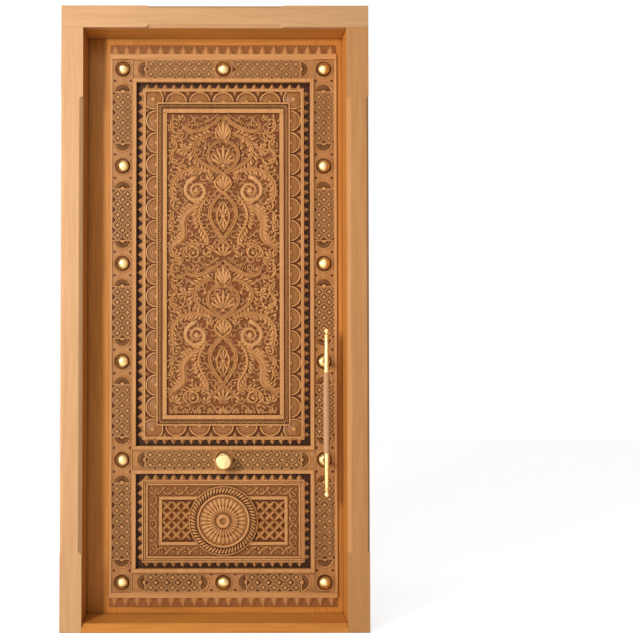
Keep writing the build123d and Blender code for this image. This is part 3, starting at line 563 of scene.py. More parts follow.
def round_cutter(radius, x=0.0, z=0.0):
    """A round cutter across the plate, as deep as the carving."""
    cutter = lathe([(radius * 0.86, 0), (radius * 0.86, 1 * MM), (radius, 9 * MM), (radius, 12 * MM)], 28)
    cutter = face_front(cutter)
    cutter.location = (x, 1 * MM, z)
    return settle(cutter)


def shell_flutes(z, turn, reach_x):
    """Flutes, lobe and rim of a half shell whose flat side, a thin bar, lies at z."""
    pieces = [block((-reach_x, -ground_depth + 0.6 * MM, -1.6 * MM), (reach_x, 1 * MM, 1.6 * MM), 0.6 * MM)]
    flutes = 11
    turns = [math.pi * ((i + 0.5) / flutes - 0.5) for i in range(flutes)]
    reach = 9 * MM
    fan = [(reach * math.sin(t), 0, reach * math.cos(t), t, 4.6 * MM, 4.8 * MM, 19 * MM) for t in turns]
    pieces += copies(blade(), fan)
    pieces.append(ring(5 * MM, 10 * MM, ground_depth - 0.8 * MM, half=True))
    pieces.append(ring(hoop_radius, hoop_width, hoop_rise, half=True))
    shell = join(pieces, "shell_flutes")
    shell.rotation_euler = (0, turn, 0)
    shell.location.z = z
    return settle(shell)


def stud_plate(reach, below, above, shells_below, shells_above, dish=True):
    """A plate round a stud, with a round dish, half shells at its ends and eyes between them."""
    plate = block((-reach, -ground_depth + 3.6 * MM, -below), (reach, 1 * MM, above), 0.6 * MM)
    cutters = [round_cutter(dish_radius)] if dish else []
    pieces = [plate]
    eyes = [(side * eye_x, z) for side in (-1, 1) for z in (-eye_z, eye_z)]
    if shells_below:
        cutters.append(round_cutter(shell_radius, 0, -below))
        pieces.append(shell_flutes(-below, 0, reach))
    if shells_above:
        cutters.append(round_cutter(shell_radius, 0, above))
        pieces.append(shell_flutes(above, math.pi, reach))
    if dish:
        cutters += [round_cutter(eye_radius, x, z) for x, z in eyes if -below < z < above]
        pieces.append(ring(hoop_radius, hoop_width, hoop_rise))
    carve_away(plate, cutters)
    return join(pieces, "stud_plate")


def rows_between(start, end):
    """Middles of the lattice rows between two ends."""
    count = round(abs(end - start) / cell_size)
    step = (end - start) / count
    return [start + step * (i + 0.5) for i in range(count)]


def carved_board(low, high, name):
    """A carved board's ground with a raised fillet along each edge of its band."""
    pieces = [block((low.x, face_y + ground_depth, low.z), high, 0.4 * MM)]
    inner = 4 * MM
    if high.x - low.x > high.z - low.z:
        pieces.append(block((low.x, face_y, low.z), (high.x, high.y, low.z + inner), 1.2 * MM))
        pieces.append(block((low.x, face_y, high.z - inner), high, 1.2 * MM))
    else:
        outer = high.x - low.x - band
        left, right = (outer, inner) if low.x < middle_x else (inner, outer)
        pieces.append(block((low.x, face_y, low.z), (low.x + left, high.y, high.z), 1.2 * MM))
        pieces.append(block((high.x - right, face_y, low.z), high, 1.2 * MM))
    return join(pieces, name)


def band_carving(board, cells, plates):
    """A board with its lattice cells and stud plates; plates is a list of (pattern, spots)."""
    ground_y = face_y + ground_depth
    pieces = [board]
    pieces += copies(lattice_cell(), [(x, ground_y, z, 0) for x, z in cells])
    for pattern, spots in plates:
        pieces += copies(pattern, [(x, ground_y, z, turn) for x, z, turn in spots])
    return join(pieces, board.name)


for node_name, side in (("carved_column_hinge", -1), ("carved_column_lock", 1)):
    low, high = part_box(node_name)
    x = middle_x + side * column_offset
    cells = []
    for bottom, top in zip(stud_levels[:-1], stud_levels[1:]):
        rows = rows_between(bottom + shell_reach, top - shell_reach)
        cells += [(x + across * cell_size, z) for z in rows for across in (-0.5, 0.5)]
    inner_spots = [(x, z, 0) for z in stud_levels[1:-1]]
    end_spots = [(x, stud_levels[0], 0), (x, stud_levels[-1], math.pi)]
    end_reach = stud_levels[0] - low.z - 0.5 * MM
    plates = [
        (stud_plate(column_plate, shell_reach, shell_reach, True, True), inner_spots),
        (stud_plate(column_plate, end_reach, shell_reach, False, True), end_spots),
    ]
    board = carved_board(low, high, node_name + "_carved")
    add_piece(band_carving(board, cells, plates), band_upright, "carved_wood", "leaf", node_name)

for node_name, level, inner in (
    ("frieze_top", top_z, plain_centre),
    ("frieze_lock", rail_z, plain_centre),
    ("frieze_bottom", foot_z, shell_reach),
):
    low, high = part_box(node_name)
    cells = []
    outer = column_offset - shell_reach
    for side in (-1, 1):
        rows = rows_between(middle_x + side * inner, middle_x + side * outer)
        cells += [(x, level + up * cell_size) for x in rows for up in (-0.5, 0.5)]
    end_length = panel_half - outer - 1 * MM
    ends = [(middle_x + side * outer, level, side * math.pi / 2) for side in (-1, 1)]
    shelled = inner == shell_reach
    plates = [
        (stud_plate(frieze_plate, 0, end_length, True, False, dish=False), ends),
        (stud_plate(frieze_plate, inner, inner, shelled, shelled), [(middle_x, level, math.pi / 2)]),
    ]
    board = carved_board(low, high, node_name + "_carved")
    add_piece(band_carving(board, cells, plates), band_level, "carved_wood", "leaf", node_name)

# Strips of pointed teeth at the top and bottom of the carving
tooth_count = 20
# The tooth strips darken towards their ground: painted shade between the teeth.
tooth_wood = carved_wood("tooth_wood", face_y, leaf_y, along_x, (0.42, 0.27, 0.16))
for node_name, up in (("tooth_strip_top", 1), ("tooth_strip_bottom", -1)):
    low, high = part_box(node_name)
    near, far = (low.z, high.z) if up > 0 else (high.z, low.z)
    root = far - up * 34 * MM
    pitch = (high.x - low.x) / tooth_count
    ground_y = leaf_y - 1.2 * MM
    plate_span, ground_span = sorted((near, root)), sorted((root, far))
    pieces = [
        block((low.x, face_y, plate_span[0]), (high.x, leaf_y, plate_span[1]), 1.2 * MM),
        block((low.x, ground_y, ground_span[0]), (high.x, leaf_y, ground_span[1])),
    ]
    turn = 0 if up > 0 else math.pi
    spots = [(low.x + pitch * (i + 0.5), ground_y, root, turn) for i in range(tooth_count)]
    pieces += copies(tooth(pitch * 0.98, 33 * MM, ground_y - face_y - 0.3 * MM), spots)
    add_piece(join(pieces, node_name + "_carved"), tooth_wood, "carved_wood", "leaf", node_name)

# Brass studs: domes on a thin foot
stud_low, stud_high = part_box("studs")
stud_rise = stud_high.y - stud_low.y
stud_radius = 22.5 * MM
stud_profile = [(stud_radius, 0)]
dome_steps = 9
for i in range(dome_steps):
    turn = math.pi / 2 * i / dome_steps
    stud_profile.append(
        (stud_radius * math.cos(turn), 1.6 * MM + (stud_rise - 1.8 * MM) * math.sin(turn))
    )
stud_spots = [(middle_x - column_offset, z) for z in stud_levels]
stud_spots += [(handle_x, stud_levels[0])] + [(handle_x, z) for z in stud_levels[3:]]
stud_spots += [(middle_x, top_z), (middle_x, foot_z)]
stud = face_front(lathe(stud_profile, 28, 35))
studs = join(copies(stud, [(x, stud_high.y, z, 0) for x, z in stud_spots]), "brass_studs")
add_piece(studs, brass, "brass", "leaf", "studs")

# Centre knob
knob_low, knob_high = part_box("centre_knob")
knob_tall = (knob_high.y - knob_low.y) / MM
knob_wide = (knob_high.x - knob_low.x) / 2 / MM
knob_profile = [
    (24, 0), (24, 2), (21, 4), (12, 6), (9, 10), (9, 34), (13, 41), (knob_wide * 0.86, 50),
    (knob_wide * 0.98, 58), (knob_wide, 64), (knob_wide * 0.97, 69), (knob_wide * 0.82, knob_tall - 2),
    (knob_wide * 0.5, knob_tall - 0.4), (knob_wide * 0.1, knob_tall),
]
knob = face_front(lathe(in_mm(knob_profile), 40, 30))
knob.location = ((knob_low.x + knob_high.x) / 2, knob_high.y, (knob_low.z + knob_high.z) / 2)
knob = settle(knob)
knob.name = "turned_knob"
add_piece(knob, brass, "brass", "leaf", "centre_knob")


# Pull handle
def bar_profile(length):
    """Sleeve, rings and ball of one end of the pull, rising from the grip, in millimetres."""
    end = length - 34
    return [
        (9.5, 0), (10.5, 1), (10.5, 5), (9.2, 6.5), (8.2, end * 0.55), (7.6, end - 2), (9.8, end),
        (10, end + 2), (8, end + 4), (9.6, end + 6), (9.6, end + 8), (5, end + 11), (5.4, end + 14),
        (8.6, end + 18), (10, end + 23), (9, end + 28), (6, end + 32), (2, length),
    ]


grip_low, grip_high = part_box("handle_grip")
bar_y = (grip_low.y + grip_high.y) / 2
for node_name, joint_z, flip, post_z in (
    ("handle_upper_fitting", grip_high.z, 0, stud_levels[2]),
    ("handle_lower_fitting", grip_low.z, math.pi, stud_levels[1]),
):
    low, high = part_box(node_name)
    bar = lathe(in_mm(bar_profile((high.z - low.z) / MM)), 24, 35)
    bar.rotation_euler = (flip, 0, 0)
    bar.location = (handle_x, bar_y, joint_z)
    standoff = (high.y - bar_y) / MM
    post_profile = [
        (22.5, 0), (22.5, 2), (20.5, 7), (15, 12), (9.5, 15), (7.6, 19), (7.6, standoff - 14),
        (9.2, standoff - 9), (9.2, standoff),
    ]
    post = face_front(lathe(in_mm(post_profile), 28, 35))
    post.location = (handle_x, high.y, post_z)
    casting = join([settle(bar), settle(post)], node_name + "_cast")
    add_piece(casting, brass, "brass", "leaf", node_name)

grip_length = grip_high.z - grip_low.z
grip_radius = (grip_high.x - grip_low.x) / 2
half_swell = [(0, 0.84), (0.02, 0.88), (0.15, 0.93), (0.35, 0.985), (0.5, 1)]
swell = half_swell + [(1 - h, r) for h, r in half_swell[-2::-1]]
grip = lathe([(grip_radius * r, grip_length * h) for h, r in swell], 28, 50)
grip.location = (handle_x, bar_y, grip_low.z)
grip = settle(grip)
grip.name = "turned_grip"
add_piece(grip, grip_beech, "grip_wood", "leaf", "handle_grip")

# Upper panel: board, raised field and the arabesque
panel_low, panel_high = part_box("upper_panel")
scallop_low, scallop_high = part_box("upper_scallop_top")
side_low, side_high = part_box("upper_scallop_left")
field_low = Vector((side_high.x, 0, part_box("upper_scallop_bottom")[1].z))
field_high = Vector((2 * middle_x - side_high.x, 0, scallop_low.z))
relief = 8 * MM
field_y = panel_low.y + relief
gap = 0.3 * MM
panel_thick = 24 * MM
panel_face = panel_high.y - panel_thick
unit = 0.48 * (field_high.z - field_low.z)
field_half = (field_high.x - field_low.x) / 2


class Carver:
    """Collects the straps, leaves and buttons of a drawing in millimetres: across and down."""

    def __init__(self, rise, bold=1.0):
        self.rise = rise
        self.bold = bold
        self.straps = []
        self.leaves = []
        self.buttons = []

    def stem(self, points, width, rise=0.95):
        """A strap through (across, down, share of width) points."""
        line = [(x * MM, -d * MM, share) for x, d, share in points]
        self.straps.append(strap(line, width * self.bold * MM, self.rise * rise))

    def pair(self, points, width):
        """A strap with a line cut along its middle: two strands on a lower one."""
        for side in (-1, 1):
            strand = []
            for i, (x, d, share) in enumerate(points):
                before, after = points[max(i - 1, 0)], points[min(i + 1, len(points) - 1)]
                run = Vector((after[0] - before[0], after[1] - before[1])).normalized()
                shift = side * width * self.bold * share * 0.27
                strand.append((x - run.y * shift, d + run.x * shift, share))
            self.stem(strand, width * 0.5)
        self.stem(points, width, 0.62)

    def scroll(self, x, d, outer, inner, start, turns, width):
        """A scroll that winds in to a button."""
        line = spiral((x * MM, -d * MM), outer * MM, inner * MM, math.radians(start), turns)
        self.straps.append(strap(line, width * self.bold * MM, self.rise * 0.95))
        self.bead(x, d, inner * 1.25)

    def bead(self, x, d, radius):
        self.buttons.append((x * MM, 0, -d * MM, 0, radius * MM, self.rise * 0.95, radius * MM))

    def leaf(self, x, d, turn, length, width, rise=0.8):
        size = self.bold * MM
        self.leaves.append((x * MM, 0, -d * MM, turn, width * size, self.rise * rise, length * size))

    def fan(self, x, d, count, length, width, spread, aim=0):
        """Leaves that spread from one foot, longest in the middle."""
        for i in range(count):
            share = i / (count - 1) - 0.5
            size = 1 - 0.5 * abs(share)
            self.leaf(x, d, math.radians(aim + spread * share), length * size, width)

    def frond(self, points, sides, spacing, length, width, lean=48):
        """Leaves along a stem, leaning forward from it."""
        left = spacing / 2
        for (x0, d0, _), (x1, d1, _) in zip(points[:-1], points[1:]):
            run = math.hypot(x1 - x0, d1 - d0)
            heading = math.atan2(x1 - x0, d0 - d1)
            while left < run:
                share = left / run
                for side in sides:
                    turn = heading + side * math.radians(lean)
                    self.leaf(x0 + (x1 - x0) * share, d0 + (d1 - d0) * share, turn, length, width)
                left += spacing
            left -= run

    def done(self, name):
        pieces = self.straps
        if self.leaves:
            pieces += copies(blade(), self.leaves)
        if self.buttons:
            pieces += copies(button(), self.buttons)
        return join(pieces, name)


def arabesque_half():
    """The right half of one unit, from the middle of its top."""
    cut = Carver(relief, 1.3)
    arch = [
        (0, 3, 0.6), (24, 24, 0.9), (52, 44, 1), (84, 58, 1), (112, 62, 1), (133, 52, 0.9), (138, 36, 0.8),
        (128, 25, 0.7), (117, 31, 0.55), (120, 40, 0.45),
    ]
    cut.pair(arch, 13)
    cut.frond([(10, 4, 1), (46, 30, 1), (84, 46, 1), (114, 48, 1)], (-1,), 9, 13, 7, 80)
    cut.bead(124, 36, 6)
    corner = [(136, 66, 0.5), (158, 72, 1), (180, 66, 1), (194, 48, 1), (194, 26, 0.9), (180, 13, 0.7)]
    cut.stem(corner, 9)
    cut.frond(corner, (-1, 1), 16, 17, 9)
    cut.scroll(170, 34, 19, 5, 30, -1.2, 8)
    cut.fan(146, 14, 3, 20, 9, 90, 60)
    bud = [(0, 18, 0.5), (20, 42, 0.9), (31, 66, 1), (25, 86, 0.9), (6, 100, 0.7)]
    cut.stem(bud, 8)
    cut.fan(0, 96, 5, 62, 15, 62)
    ring_line = [(0, 96, 0.8), (34, 100, 1), (57, 128, 1), (58, 160, 1), (40, 190, 1), (12, 205, 0.8)]
    cut.pair(ring_line, 11)
    cut.scroll(28, 150, 19, 4, 230, 1.25, 7)
    cut.fan(0, 182, 7, 58, 13, 130)
    cut.fan(34, 176, 3, 20, 9, 80, 60)
    cut.bead(0, 186, 8)
    outer_stem = [
        (34, 72, 0.7), (64, 78, 1), (94, 96, 1), (110, 124, 1), (104, 154, 1), (80, 176, 1), (52, 192, 1),
        (26, 206, 0.9), (0, 218, 0.8),
    ]
    cut.pair(outer_stem, 12)
    cut.frond(outer_stem[:7], (-1,), 14, 25, 12, 52)
    cut.frond(outer_stem[1:5], (1,), 15, 18, 10, 48)
    side = [
        (198, 82, 0.6), (178, 90, 1), (165, 108, 1), (172, 128, 1), (190, 140, 1), (196, 158, 1),
        (184, 176, 1), (164, 184, 0.9), (146, 178, 0.5),
    ]
    cut.stem(side, 9)
    cut.frond(side, (-1, 1), 17, 19, 10)
    cut.scroll(184, 112, 12, 3, 180, 1.1, 6)
    cut.scroll(178, 160, 12, 3, 20, 1.1, 6)
    cut.fan(136, 128, 5, 28, 11, 150, 90)
    cut.bead(136, 128, 6)
    cut.fan(148, 198, 3, 22, 10, 80, 80)
    knot = [
        (-26, 194, 0.6), (0, 216, 1), (25, 234, 1), (33, 252, 1), (22, 270, 1), (0, 285, 1), (-24, 302, 0.6),
    ]
    cut.stem(knot, 9)
    cut.fan(0, 276, 5, 54, 13, 70)
    big_stem = [
        (34, 214, 0.7), (66, 203, 1), (104, 198, 1), (144, 205, 1), (177, 228, 1), (191, 262, 1),
        (189, 298, 1), (176, 322, 0.8),
    ]
    cut.pair(big_stem, 14)
    cut.scroll(98, 278, 53, 9, 95, -1.85, 14)
    cut.frond(big_stem[1:], (1,), 14, 22, 11, 52)
    cut.frond(big_stem[2:], (-1,), 17, 13, 8, 50)
    cut.scroll(170, 336, 17, 5, 60, -1.2, 9)
    cut.fan(50, 244, 3, 26, 10, 70, -10)
    cut.fan(140, 330, 5, 24, 10, 120, 200)
    frame_line = [
        (0, 285, 0.8), (26, 306, 1), (46, 336, 1), (51, 368, 1), (39, 402, 1), (18, 432, 1), (0, 458, 1),
        (-20, 478, 0.9), (-34, 492, 0.6),
    ]
    cut.pair(frame_line, 12)
    inner_line = [(0, 316, 0.8), (18, 344, 1), (27, 372, 1), (17, 402, 1), (0, 430, 0.8)]
    cut.stem(inner_line, 8)
    cut.fan(0, 372, 3, 40, 11, 50)
    cut.fan(0, 372, 3, 40, 11, 50, 180)
    cut.bead(0, 372, 9)
    flank = [
        (54, 298, 0.7), (79, 326, 1), (92, 362, 1), (86, 398, 1), (68, 430, 1), (50, 454, 1),
        (58, 475, 0.9), (80, 478, 0.5),
    ]
    cut.stem(flank, 10)
    cut.frond(flank[:6], (-1,), 13, 24, 12, 48)
    cut.frond(flank[:6], (1,), 15, 14, 8, 46)
    broad = [
        (64, 318, 0.35), (104, 336, 0.9), (138, 362, 1), (151, 396, 1), (141, 430, 1), (149, 458, 1),
        (176, 470, 0.9), (193, 488, 0.6), (198, 512, 0.35),
    ]
    cut.stem(broad, 25, 0.62)
    cut.stem([(x - 5, d + 4, share) for x, d, share in broad], 6)
    cut.frond(broad, (-1,), 13, 22, 10, 64)
    edge = [
        (176, 352, 0.6), (190, 362, 1), (197, 378, 1), (187, 396, 1), (178, 412, 1), (188, 430, 1),
        (198, 444, 0.6),
    ]
    cut.stem(edge, 8)
    cut.frond(edge, (-1, 1), 15, 16, 9)
    cut.bead(184, 378, 6)
    cut.bead(190, 412, 6)
    cut.scroll(110, 506, 27, 6, 70, 1.5, 10)
    foot_stem = [(56, 478, 0.6), (84, 469, 1), (114, 472, 1), (140, 486, 1), (149, 508, 1), (143, 528, 0.6)]
    cut.stem(foot_stem, 9)
    cut.frond(foot_stem, (-1, 1), 14, 18, 9)
    cut.fan(0, 520, 5, 46, 12, 110)
    cut.fan(34, 500, 3, 28, 11, 80, 60)
    cut.fan(178, 524, 5, 28, 11, 140, -20)
    cut.fan(64, 522, 3, 24, 10, 90, -30)
    berries = (
        (66, 122, 7), (72, 148, 5), (152, 96, 5), (122, 180, 6), (190, 204, 7), (30, 470, 6), (112, 440, 6),
    )
    for x, d, radius in berries:
        cut.bead(x, d, radius)
    return cut.done("arabesque_half")


def arabesque_tail():
    """Leaves that fill the foot of the field, right half, from its bottom middle."""
    cut = Carver(relief)
    cut.fan(0, -3, 7, 32, 12, 150)
    for x in (46, 92, 138, 180):
        cut.fan(x, -3, 5, 26, 10, 130)
        cut.bead(x - 23, -9, 5)
    return cut.done("arabesque_tail")


def ground_curl():
    """A small low curl with two leaves for the ground; few faces, as it repeats."""
    rise = relief * 0.36
    hook = [
        (0, -17, 0.6), (11, -12, 1), (15, 0, 1), (8, 11, 1), (-5, 11, 1), (-10, 1, 0.9), (-3, -5, 0.8),
    ]
    drawing = [(hook, 6.5, 2)]
    for root, tip in (((13, -4), (26, -11)), ((8, 11), (12, 26))):
        middle = ((root[0] + tip[0]) / 2, (root[1] + tip[1]) / 2)
        drawing.append(([(*root, 0.4), (*middle, 1.3), (*tip, 0.3)], 8, 1))
    pieces = []
    for points, width, sections in drawing:
        line = [(x * MM, z * MM, share) for x, z, share in points]
        pieces.append(strap(line, width * MM, rise, sections, flat=True))
    return join(pieces, "ground_curl")


def curl_spots():
    """Curls in staggered rows over the whole field, each turned a little further than the last."""
    spots = []
    rows, columns = 36, 7
    step_x, step_z = (field_half - 8 * MM) / columns, (field_high.z - field_low.z - 16 * MM) / rows
    for row in range(rows):
        shift = 0.5 if row % 2 else 0.2
        for column in range(columns):
            across = (column + shift + 0.15) * step_x
            z = field_high.z - 8 * MM - (row + 0.5) * step_z
            turn = math.radians(137 * (row * columns + column))
            for side in (1, -1):
                spots.append((middle_x + side * across, field_y, z, side * turn, side, 1, 1))
    return spots


tops = [field_high.z - 6 * MM - unit * i for i in range(2)]
inner_low = (field_low.x + gap, field_y, field_low.z + gap)
inner_high = (field_high.x - gap, panel_face + 1 * MM, field_high.z - gap)
panel_pieces = [
    block((panel_low.x, panel_face, panel_low.z), panel_high, 0.5 * MM),
    block(inner_low, inner_high, 1 * MM),
]
halves = [(middle_x, field_y, z, 0, side, 1, 1) for z in tops for side in (1, -1)]
panel_pieces += copies(arabesque_half(), halves)
tails = [(middle_x, field_y, field_low.z, 0, side, 1, 1) for side in (1, -1)]
panel_pieces += copies(arabesque_tail(), tails)
arabesque_panel = outward(join(panel_pieces, "arabesque_panel"))
# The arabesque darkens towards its ground: painted shade in the hollows between straps and leaves.
arabesque_wood = carved_wood("arabesque_wood", panel_low.y + 1 * MM, field_y, hollow=(0.36, 0.22, 0.12))
add_piece(arabesque_panel, arabesque_wood, "carved_wood", "leaf", "upper_panel")
ground_curls = join(copies(ground_curl(), curl_spots()), "arabesque_ground")
add_piece(ground_curls, arabesque_wood, "carved_wood", "leaf")


# Dentils: a raised strip, a cove painted near-black as shade, with points, and a thin inner fillet
def dentil_frame(name):
    nodes = [f"{name}_dentil_{side}" for side in ("top", "bottom", "left", "right")]
    low = Vector((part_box(nodes[2])[0].x, 0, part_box(nodes[1])[0].z))
    high = Vector((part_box(nodes[3])[1].x, 0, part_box(nodes[0])[1].z))
    front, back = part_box(nodes[0])[0].y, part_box(nodes[0])[1].y
    cove = back - 5 * MM
    strip_width, cove_width = 13 * MM, 22 * MM
    fillet_inset, fillet_width, fillet_rise = 35.5 * MM, 4.5 * MM, 24 * MM
    point_inset, point_pitch = 36 * MM, 33 * MM
    pieces = rim(low, high, 0, strip_width, front, back, 1.6 * MM)
    pieces += rim(low, high, strip_width, cove_width, cove, back, 0)
    pieces += rim(low, high, fillet_inset, fillet_width, back - fillet_rise, back)
    point = tooth(32 * MM, 21 * MM, 19 * MM)
    points = around_frame(point_inset, point_pitch, low, high)
    pieces += copies(point, [(x, cove, z, turn) for x, z, turn in points])
    # The cove's near-black tone is painted shade under the raised strip.
    cove_shade = (0.10, 0.055, 0.03)
    wood = carved_wood(name + "_dentil_wood", cove - 8 * MM, cove, hollow=cove_shade)
    add_piece(join(pieces, name + "_dentils"), wood, "carved_wood", "leaf", *nodes)


dentil_frame("upper")
dentil_frame("lower")


# Scallop mouldings with a rope and a flat inner edge
scale_profile = [
    (39, 0), (39, 8.2), (37.5, 9), (34.5, 9), (33.2, 6.5), (32.6, 3), (26.6, 5.4), (25.6, 3), (19.4, 5.2),
    (18.4, 3), (12.4, 5.2), (11.4, 3), (7.6, 5.5), (4, 7.6), (0.4, 8),
]


def scallop_scale():
    """A stepped shell, round side up, flat on z = 0."""
    return upper_half(face_front(lathe(in_mm(scale_profile), 32, 30)))


def corner_shell():
    """A full shell for the top right corner, cut away over the fillets' corner."""
    shell = face_front(lathe(in_mm(scale_profile), 32, 30))
    notch = block((-60 * MM, -20 * MM, -60 * MM), (-corner_shift, 20 * MM, -corner_shift))
    return smooth(carve_away(shell, [notch]), 30)


def rope_strand():
    """One slanted strand of the rope, across the bead."""
    strand = copies(blade(), [(0, 0, 0, math.radians(40), 6 * MM, 5 * MM, 20 * MM)])[0]
    strand.location += Vector((-6.1 * MM, 0, -7.3 * MM))
    return settle(strand)


upper_low = Vector((side_low.x, 0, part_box("upper_scallop_bottom")[0].z))
upper_high = Vector((2 * middle_x - side_low.x, 0, scallop_high.z))
scallop_front, scallop_back = scallop_low.y, scallop_high.y
scale_ground = scallop_front + 10 * MM
outer_edge, scale_band, inner_edge, rope_band, flat_edge = 7 * MM, 39 * MM, 6 * MM, 17 * MM, 16 * MM
scale_inset = outer_edge + scale_band
rope_inset = scale_inset + inner_edge
flat_inset = rope_inset + rope_band
scale_pitch, rope_pitch, wedge_shift = 81 * MM, 8.4 * MM, 38.5 * MM
pieces = rim(upper_low, upper_high, 0, outer_edge, scallop_front, scallop_back)
pieces += rim(upper_low, upper_high, outer_edge, scale_band, scale_ground, scallop_back, 0)
pieces += rim(upper_low, upper_high, scale_inset, inner_edge, scallop_front, scallop_back)
pieces += rim(upper_low, upper_high, rope_inset, rope_band, scallop_front + 8 * MM, scallop_back, 0)
pieces += rim(upper_low, upper_high, flat_inset, flat_edge, scallop_front + 1.5 * MM, scallop_back, 2 * MM)
corner_shift = 13 * MM
inner_half_x = (upper_high.x - upper_low.x) / 2 - scale_inset
inner_half_z = (upper_high.z - upper_low.z) / 2 - scale_inset
upper_z = (upper_low.z + upper_high.z) / 2
scale_spots, wedge_spots = [], []
scale_runs = ((inner_half_x, inner_half_z, 0), (inner_half_z, inner_half_x, math.pi / 2))
for half_run, half_off, turn in scale_runs:
    spaces = round((2 * half_run + 2 * corner_shift) / scale_pitch)
    step = (2 * half_run + 2 * corner_shift) / spaces
    for side in (1, -1):
        facing = turn if side > 0 else turn + math.pi
        for i in range(1, 2 * spaces):
            along = -half_run - corner_shift + step * i / 2
            off = side * (half_off if i % 2 == 0 else half_off + wedge_shift)
            x, z = (along, off) if turn == 0 else (off, along)
            if i % 2 == 0:
                scale_spots.append((middle_x + x, scale_ground, upper_z + z, facing))
            else:
                wedge_spots.append((middle_x + x, scale_ground, upper_z + z, facing + math.pi))
pieces += copies(scallop_scale(), scale_spots)
pieces += copies(tooth(24 * MM, 17 * MM, 8 * MM), wedge_spots)
corner_spots = []
for i, (side_x, side_z) in enumerate(((1, 1), (1, -1), (-1, -1), (-1, 1))):
    x = middle_x + side_x * (inner_half_x + corner_shift)
    z = upper_z + side_z * (inner_half_z + corner_shift)
    corner_spots.append((x, scale_ground, z, math.pi / 2 * i))
pieces += copies(corner_shell(), corner_spots)
strand_spots = around_frame(rope_inset + rope_band / 2, rope_pitch, upper_low, upper_high)
rope_y = scallop_front + 5.4 * MM
rope = join(copies(rope_strand(), [(x, rope_y, z, turn) for x, z, turn in strand_spots]), "panel_rope")
# The rope darkens a little towards its ground: painted shade between the strands.
rope_wood = carved_wood("rope_wood", scallop_front, scallop_front + 8 * MM, hollow=(0.6, 0.44, 0.3))
add_piece(rope, rope_wood, "carved_wood", "leaf")
# The scallops darken towards their ground: painted shade in the hollows.
scallop_wood = carved_wood("scallop_wood", scallop_front, scale_ground)
scallop_nodes = [f"upper_scallop_{side}" for side in ("top", "bottom", "left", "right")]
add_piece(join(pieces, "scallop_mouldings"), scallop_wood, "carved_wood", "leaf", *scallop_nodes)

# Lower panel: fillets, a scrolling vine and a grid of chip-carved stars
low_panel_low, low_panel_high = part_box("lower_panel")
dentil_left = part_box("lower_dentil_left")[1]
plate_low = Vector((dentil_left.x + gap, 0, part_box("lower_dentil_bottom")[1].z + gap))
plate_high = Vector((2 * middle_x - dentil_left.x - gap, 0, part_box("lower_dentil_top")[0].z - gap))
plate_z = (plate_low.z + plate_high.z) / 2
plate_back = low_panel_high.y - panel_thick
plate_y = plate_back - 18 * MM
vine_ground = plate_y + 6.5 * MM
star_ground = plate_y + 11 * MM
fillet_band, vine_band, grid_rim = 16 * MM, 40 * MM, 12 * MM
rosette_low, rosette_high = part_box("rosette")
rosette_radius = (rosette_high.x - rosette_low.x) / 2


def vine_turn():
    """One turn of the vine, along +X: a stem that winds into a scroll, with leaves in the corners."""
    cut = Carver(6 * MM, 1.5)
    cut.stem([(-24, 10, 0.7), (-14, 15, 1), (-2, 12, 1), (8, 2, 1), (14, -10, 1), (24, -13, 0.8)], 5)
    cut.scroll(-9, -2, 12.5, 3, -110, 1.25, 5)
    cut.leaf(10, 0, math.radians(125), 13, 7)
    cut.leaf(-20, -4, math.radians(-40), 11, 6)
    cut.leaf(12, -12, math.radians(150), 9, 5)
    return cut.done("vine_turn")


def chip_star():
    """A square chip: a four-armed star whose arms reach the corners, with pits between them."""
    half = star_pitch / 2 - 0.4 * MM
    bpy.ops.object.select_all(action="DESELECT")
    bpy.ops.mesh.primitive_cone_add(vertices=8, radius1=1, radius2=0, depth=1)
    star = bpy.context.active_object
    turn = math.radians(45)
    for corner in star.data.vertices:
        if corner.co.z > 0:
            corner.co = (0, -10.4 * MM, 0)
            continue
        angle = round(math.atan2(corner.co.y, corner.co.x) / turn) * turn
        diagonal = round(angle / turn) % 2
        reach = half * (math.sqrt(2) if diagonal else 1)
        corner.co = (reach * math.cos(angle), (-8.5 if diagonal else 1) * MM, reach * math.sin(angle))
    return outward(star)


star_pitch = 35 * MM
plate_pieces = [
    block((low_panel_low.x, plate_back, low_panel_low.z), low_panel_high, 0.5 * MM),
    block((plate_low.x, star_ground, plate_low.z), (plate_high.x, plate_back + 1 * MM, plate_high.z)),
]
plate_pieces += rim(plate_low, plate_high, 0, 6.5 * MM, plate_y, plate_back, 1.4 * MM)
plate_pieces += rim(plate_low, plate_high, 6.5 * MM, 2.5 * MM, plate_y + 4 * MM, plate_back, 0)
plate_pieces += rim(plate_low, plate_high, 9 * MM, 7 * MM, plate_y + 0.4 * MM, plate_back, 1.4 * MM)
plate_pieces += rim(plate_low, plate_high, fillet_band, vine_band, vine_ground, plate_back, 0)
grid_inset = fillet_band + vine_band
plate_pieces += rim(plate_low, plate_high, grid_inset, grid_rim, plate_y + 1 * MM, plate_back, 1.6 * MM)
vine_spots = [
    (x, vine_ground, z, turn)
    for x, z, turn in around_frame(fillet_band + vine_band / 2, 44 * MM, plate_low, plate_high)
    if math.hypot(x - middle_x, z - plate_z) > rosette_radius + 14 * MM
]
plate_pieces += copies(vine_turn(), vine_spots)
star_edge = plate_high.x - grid_inset - grid_rim
star_spots = []
for i in range(3):
    for j in range(4):
        x = star_edge - star_pitch * (i + 0.5)
        z = plate_z + star_pitch * (j - 1.5)
        star_spots += [(x, star_ground, z, 0), (2 * middle_x - x, star_ground, z, 0)]
plate_pieces += copies(chip_star(), star_spots)
vine_panel = join(plate_pieces, "vine_panel")
# The lower panel darkens towards the vine's ground: painted shade in the hollows.
vine_wood = carved_wood("vine_wood", plate_y, vine_ground + 1 * MM, along_x)
add_piece(vine_panel, vine_wood, "carved_wood", "leaf", "lower_panel")


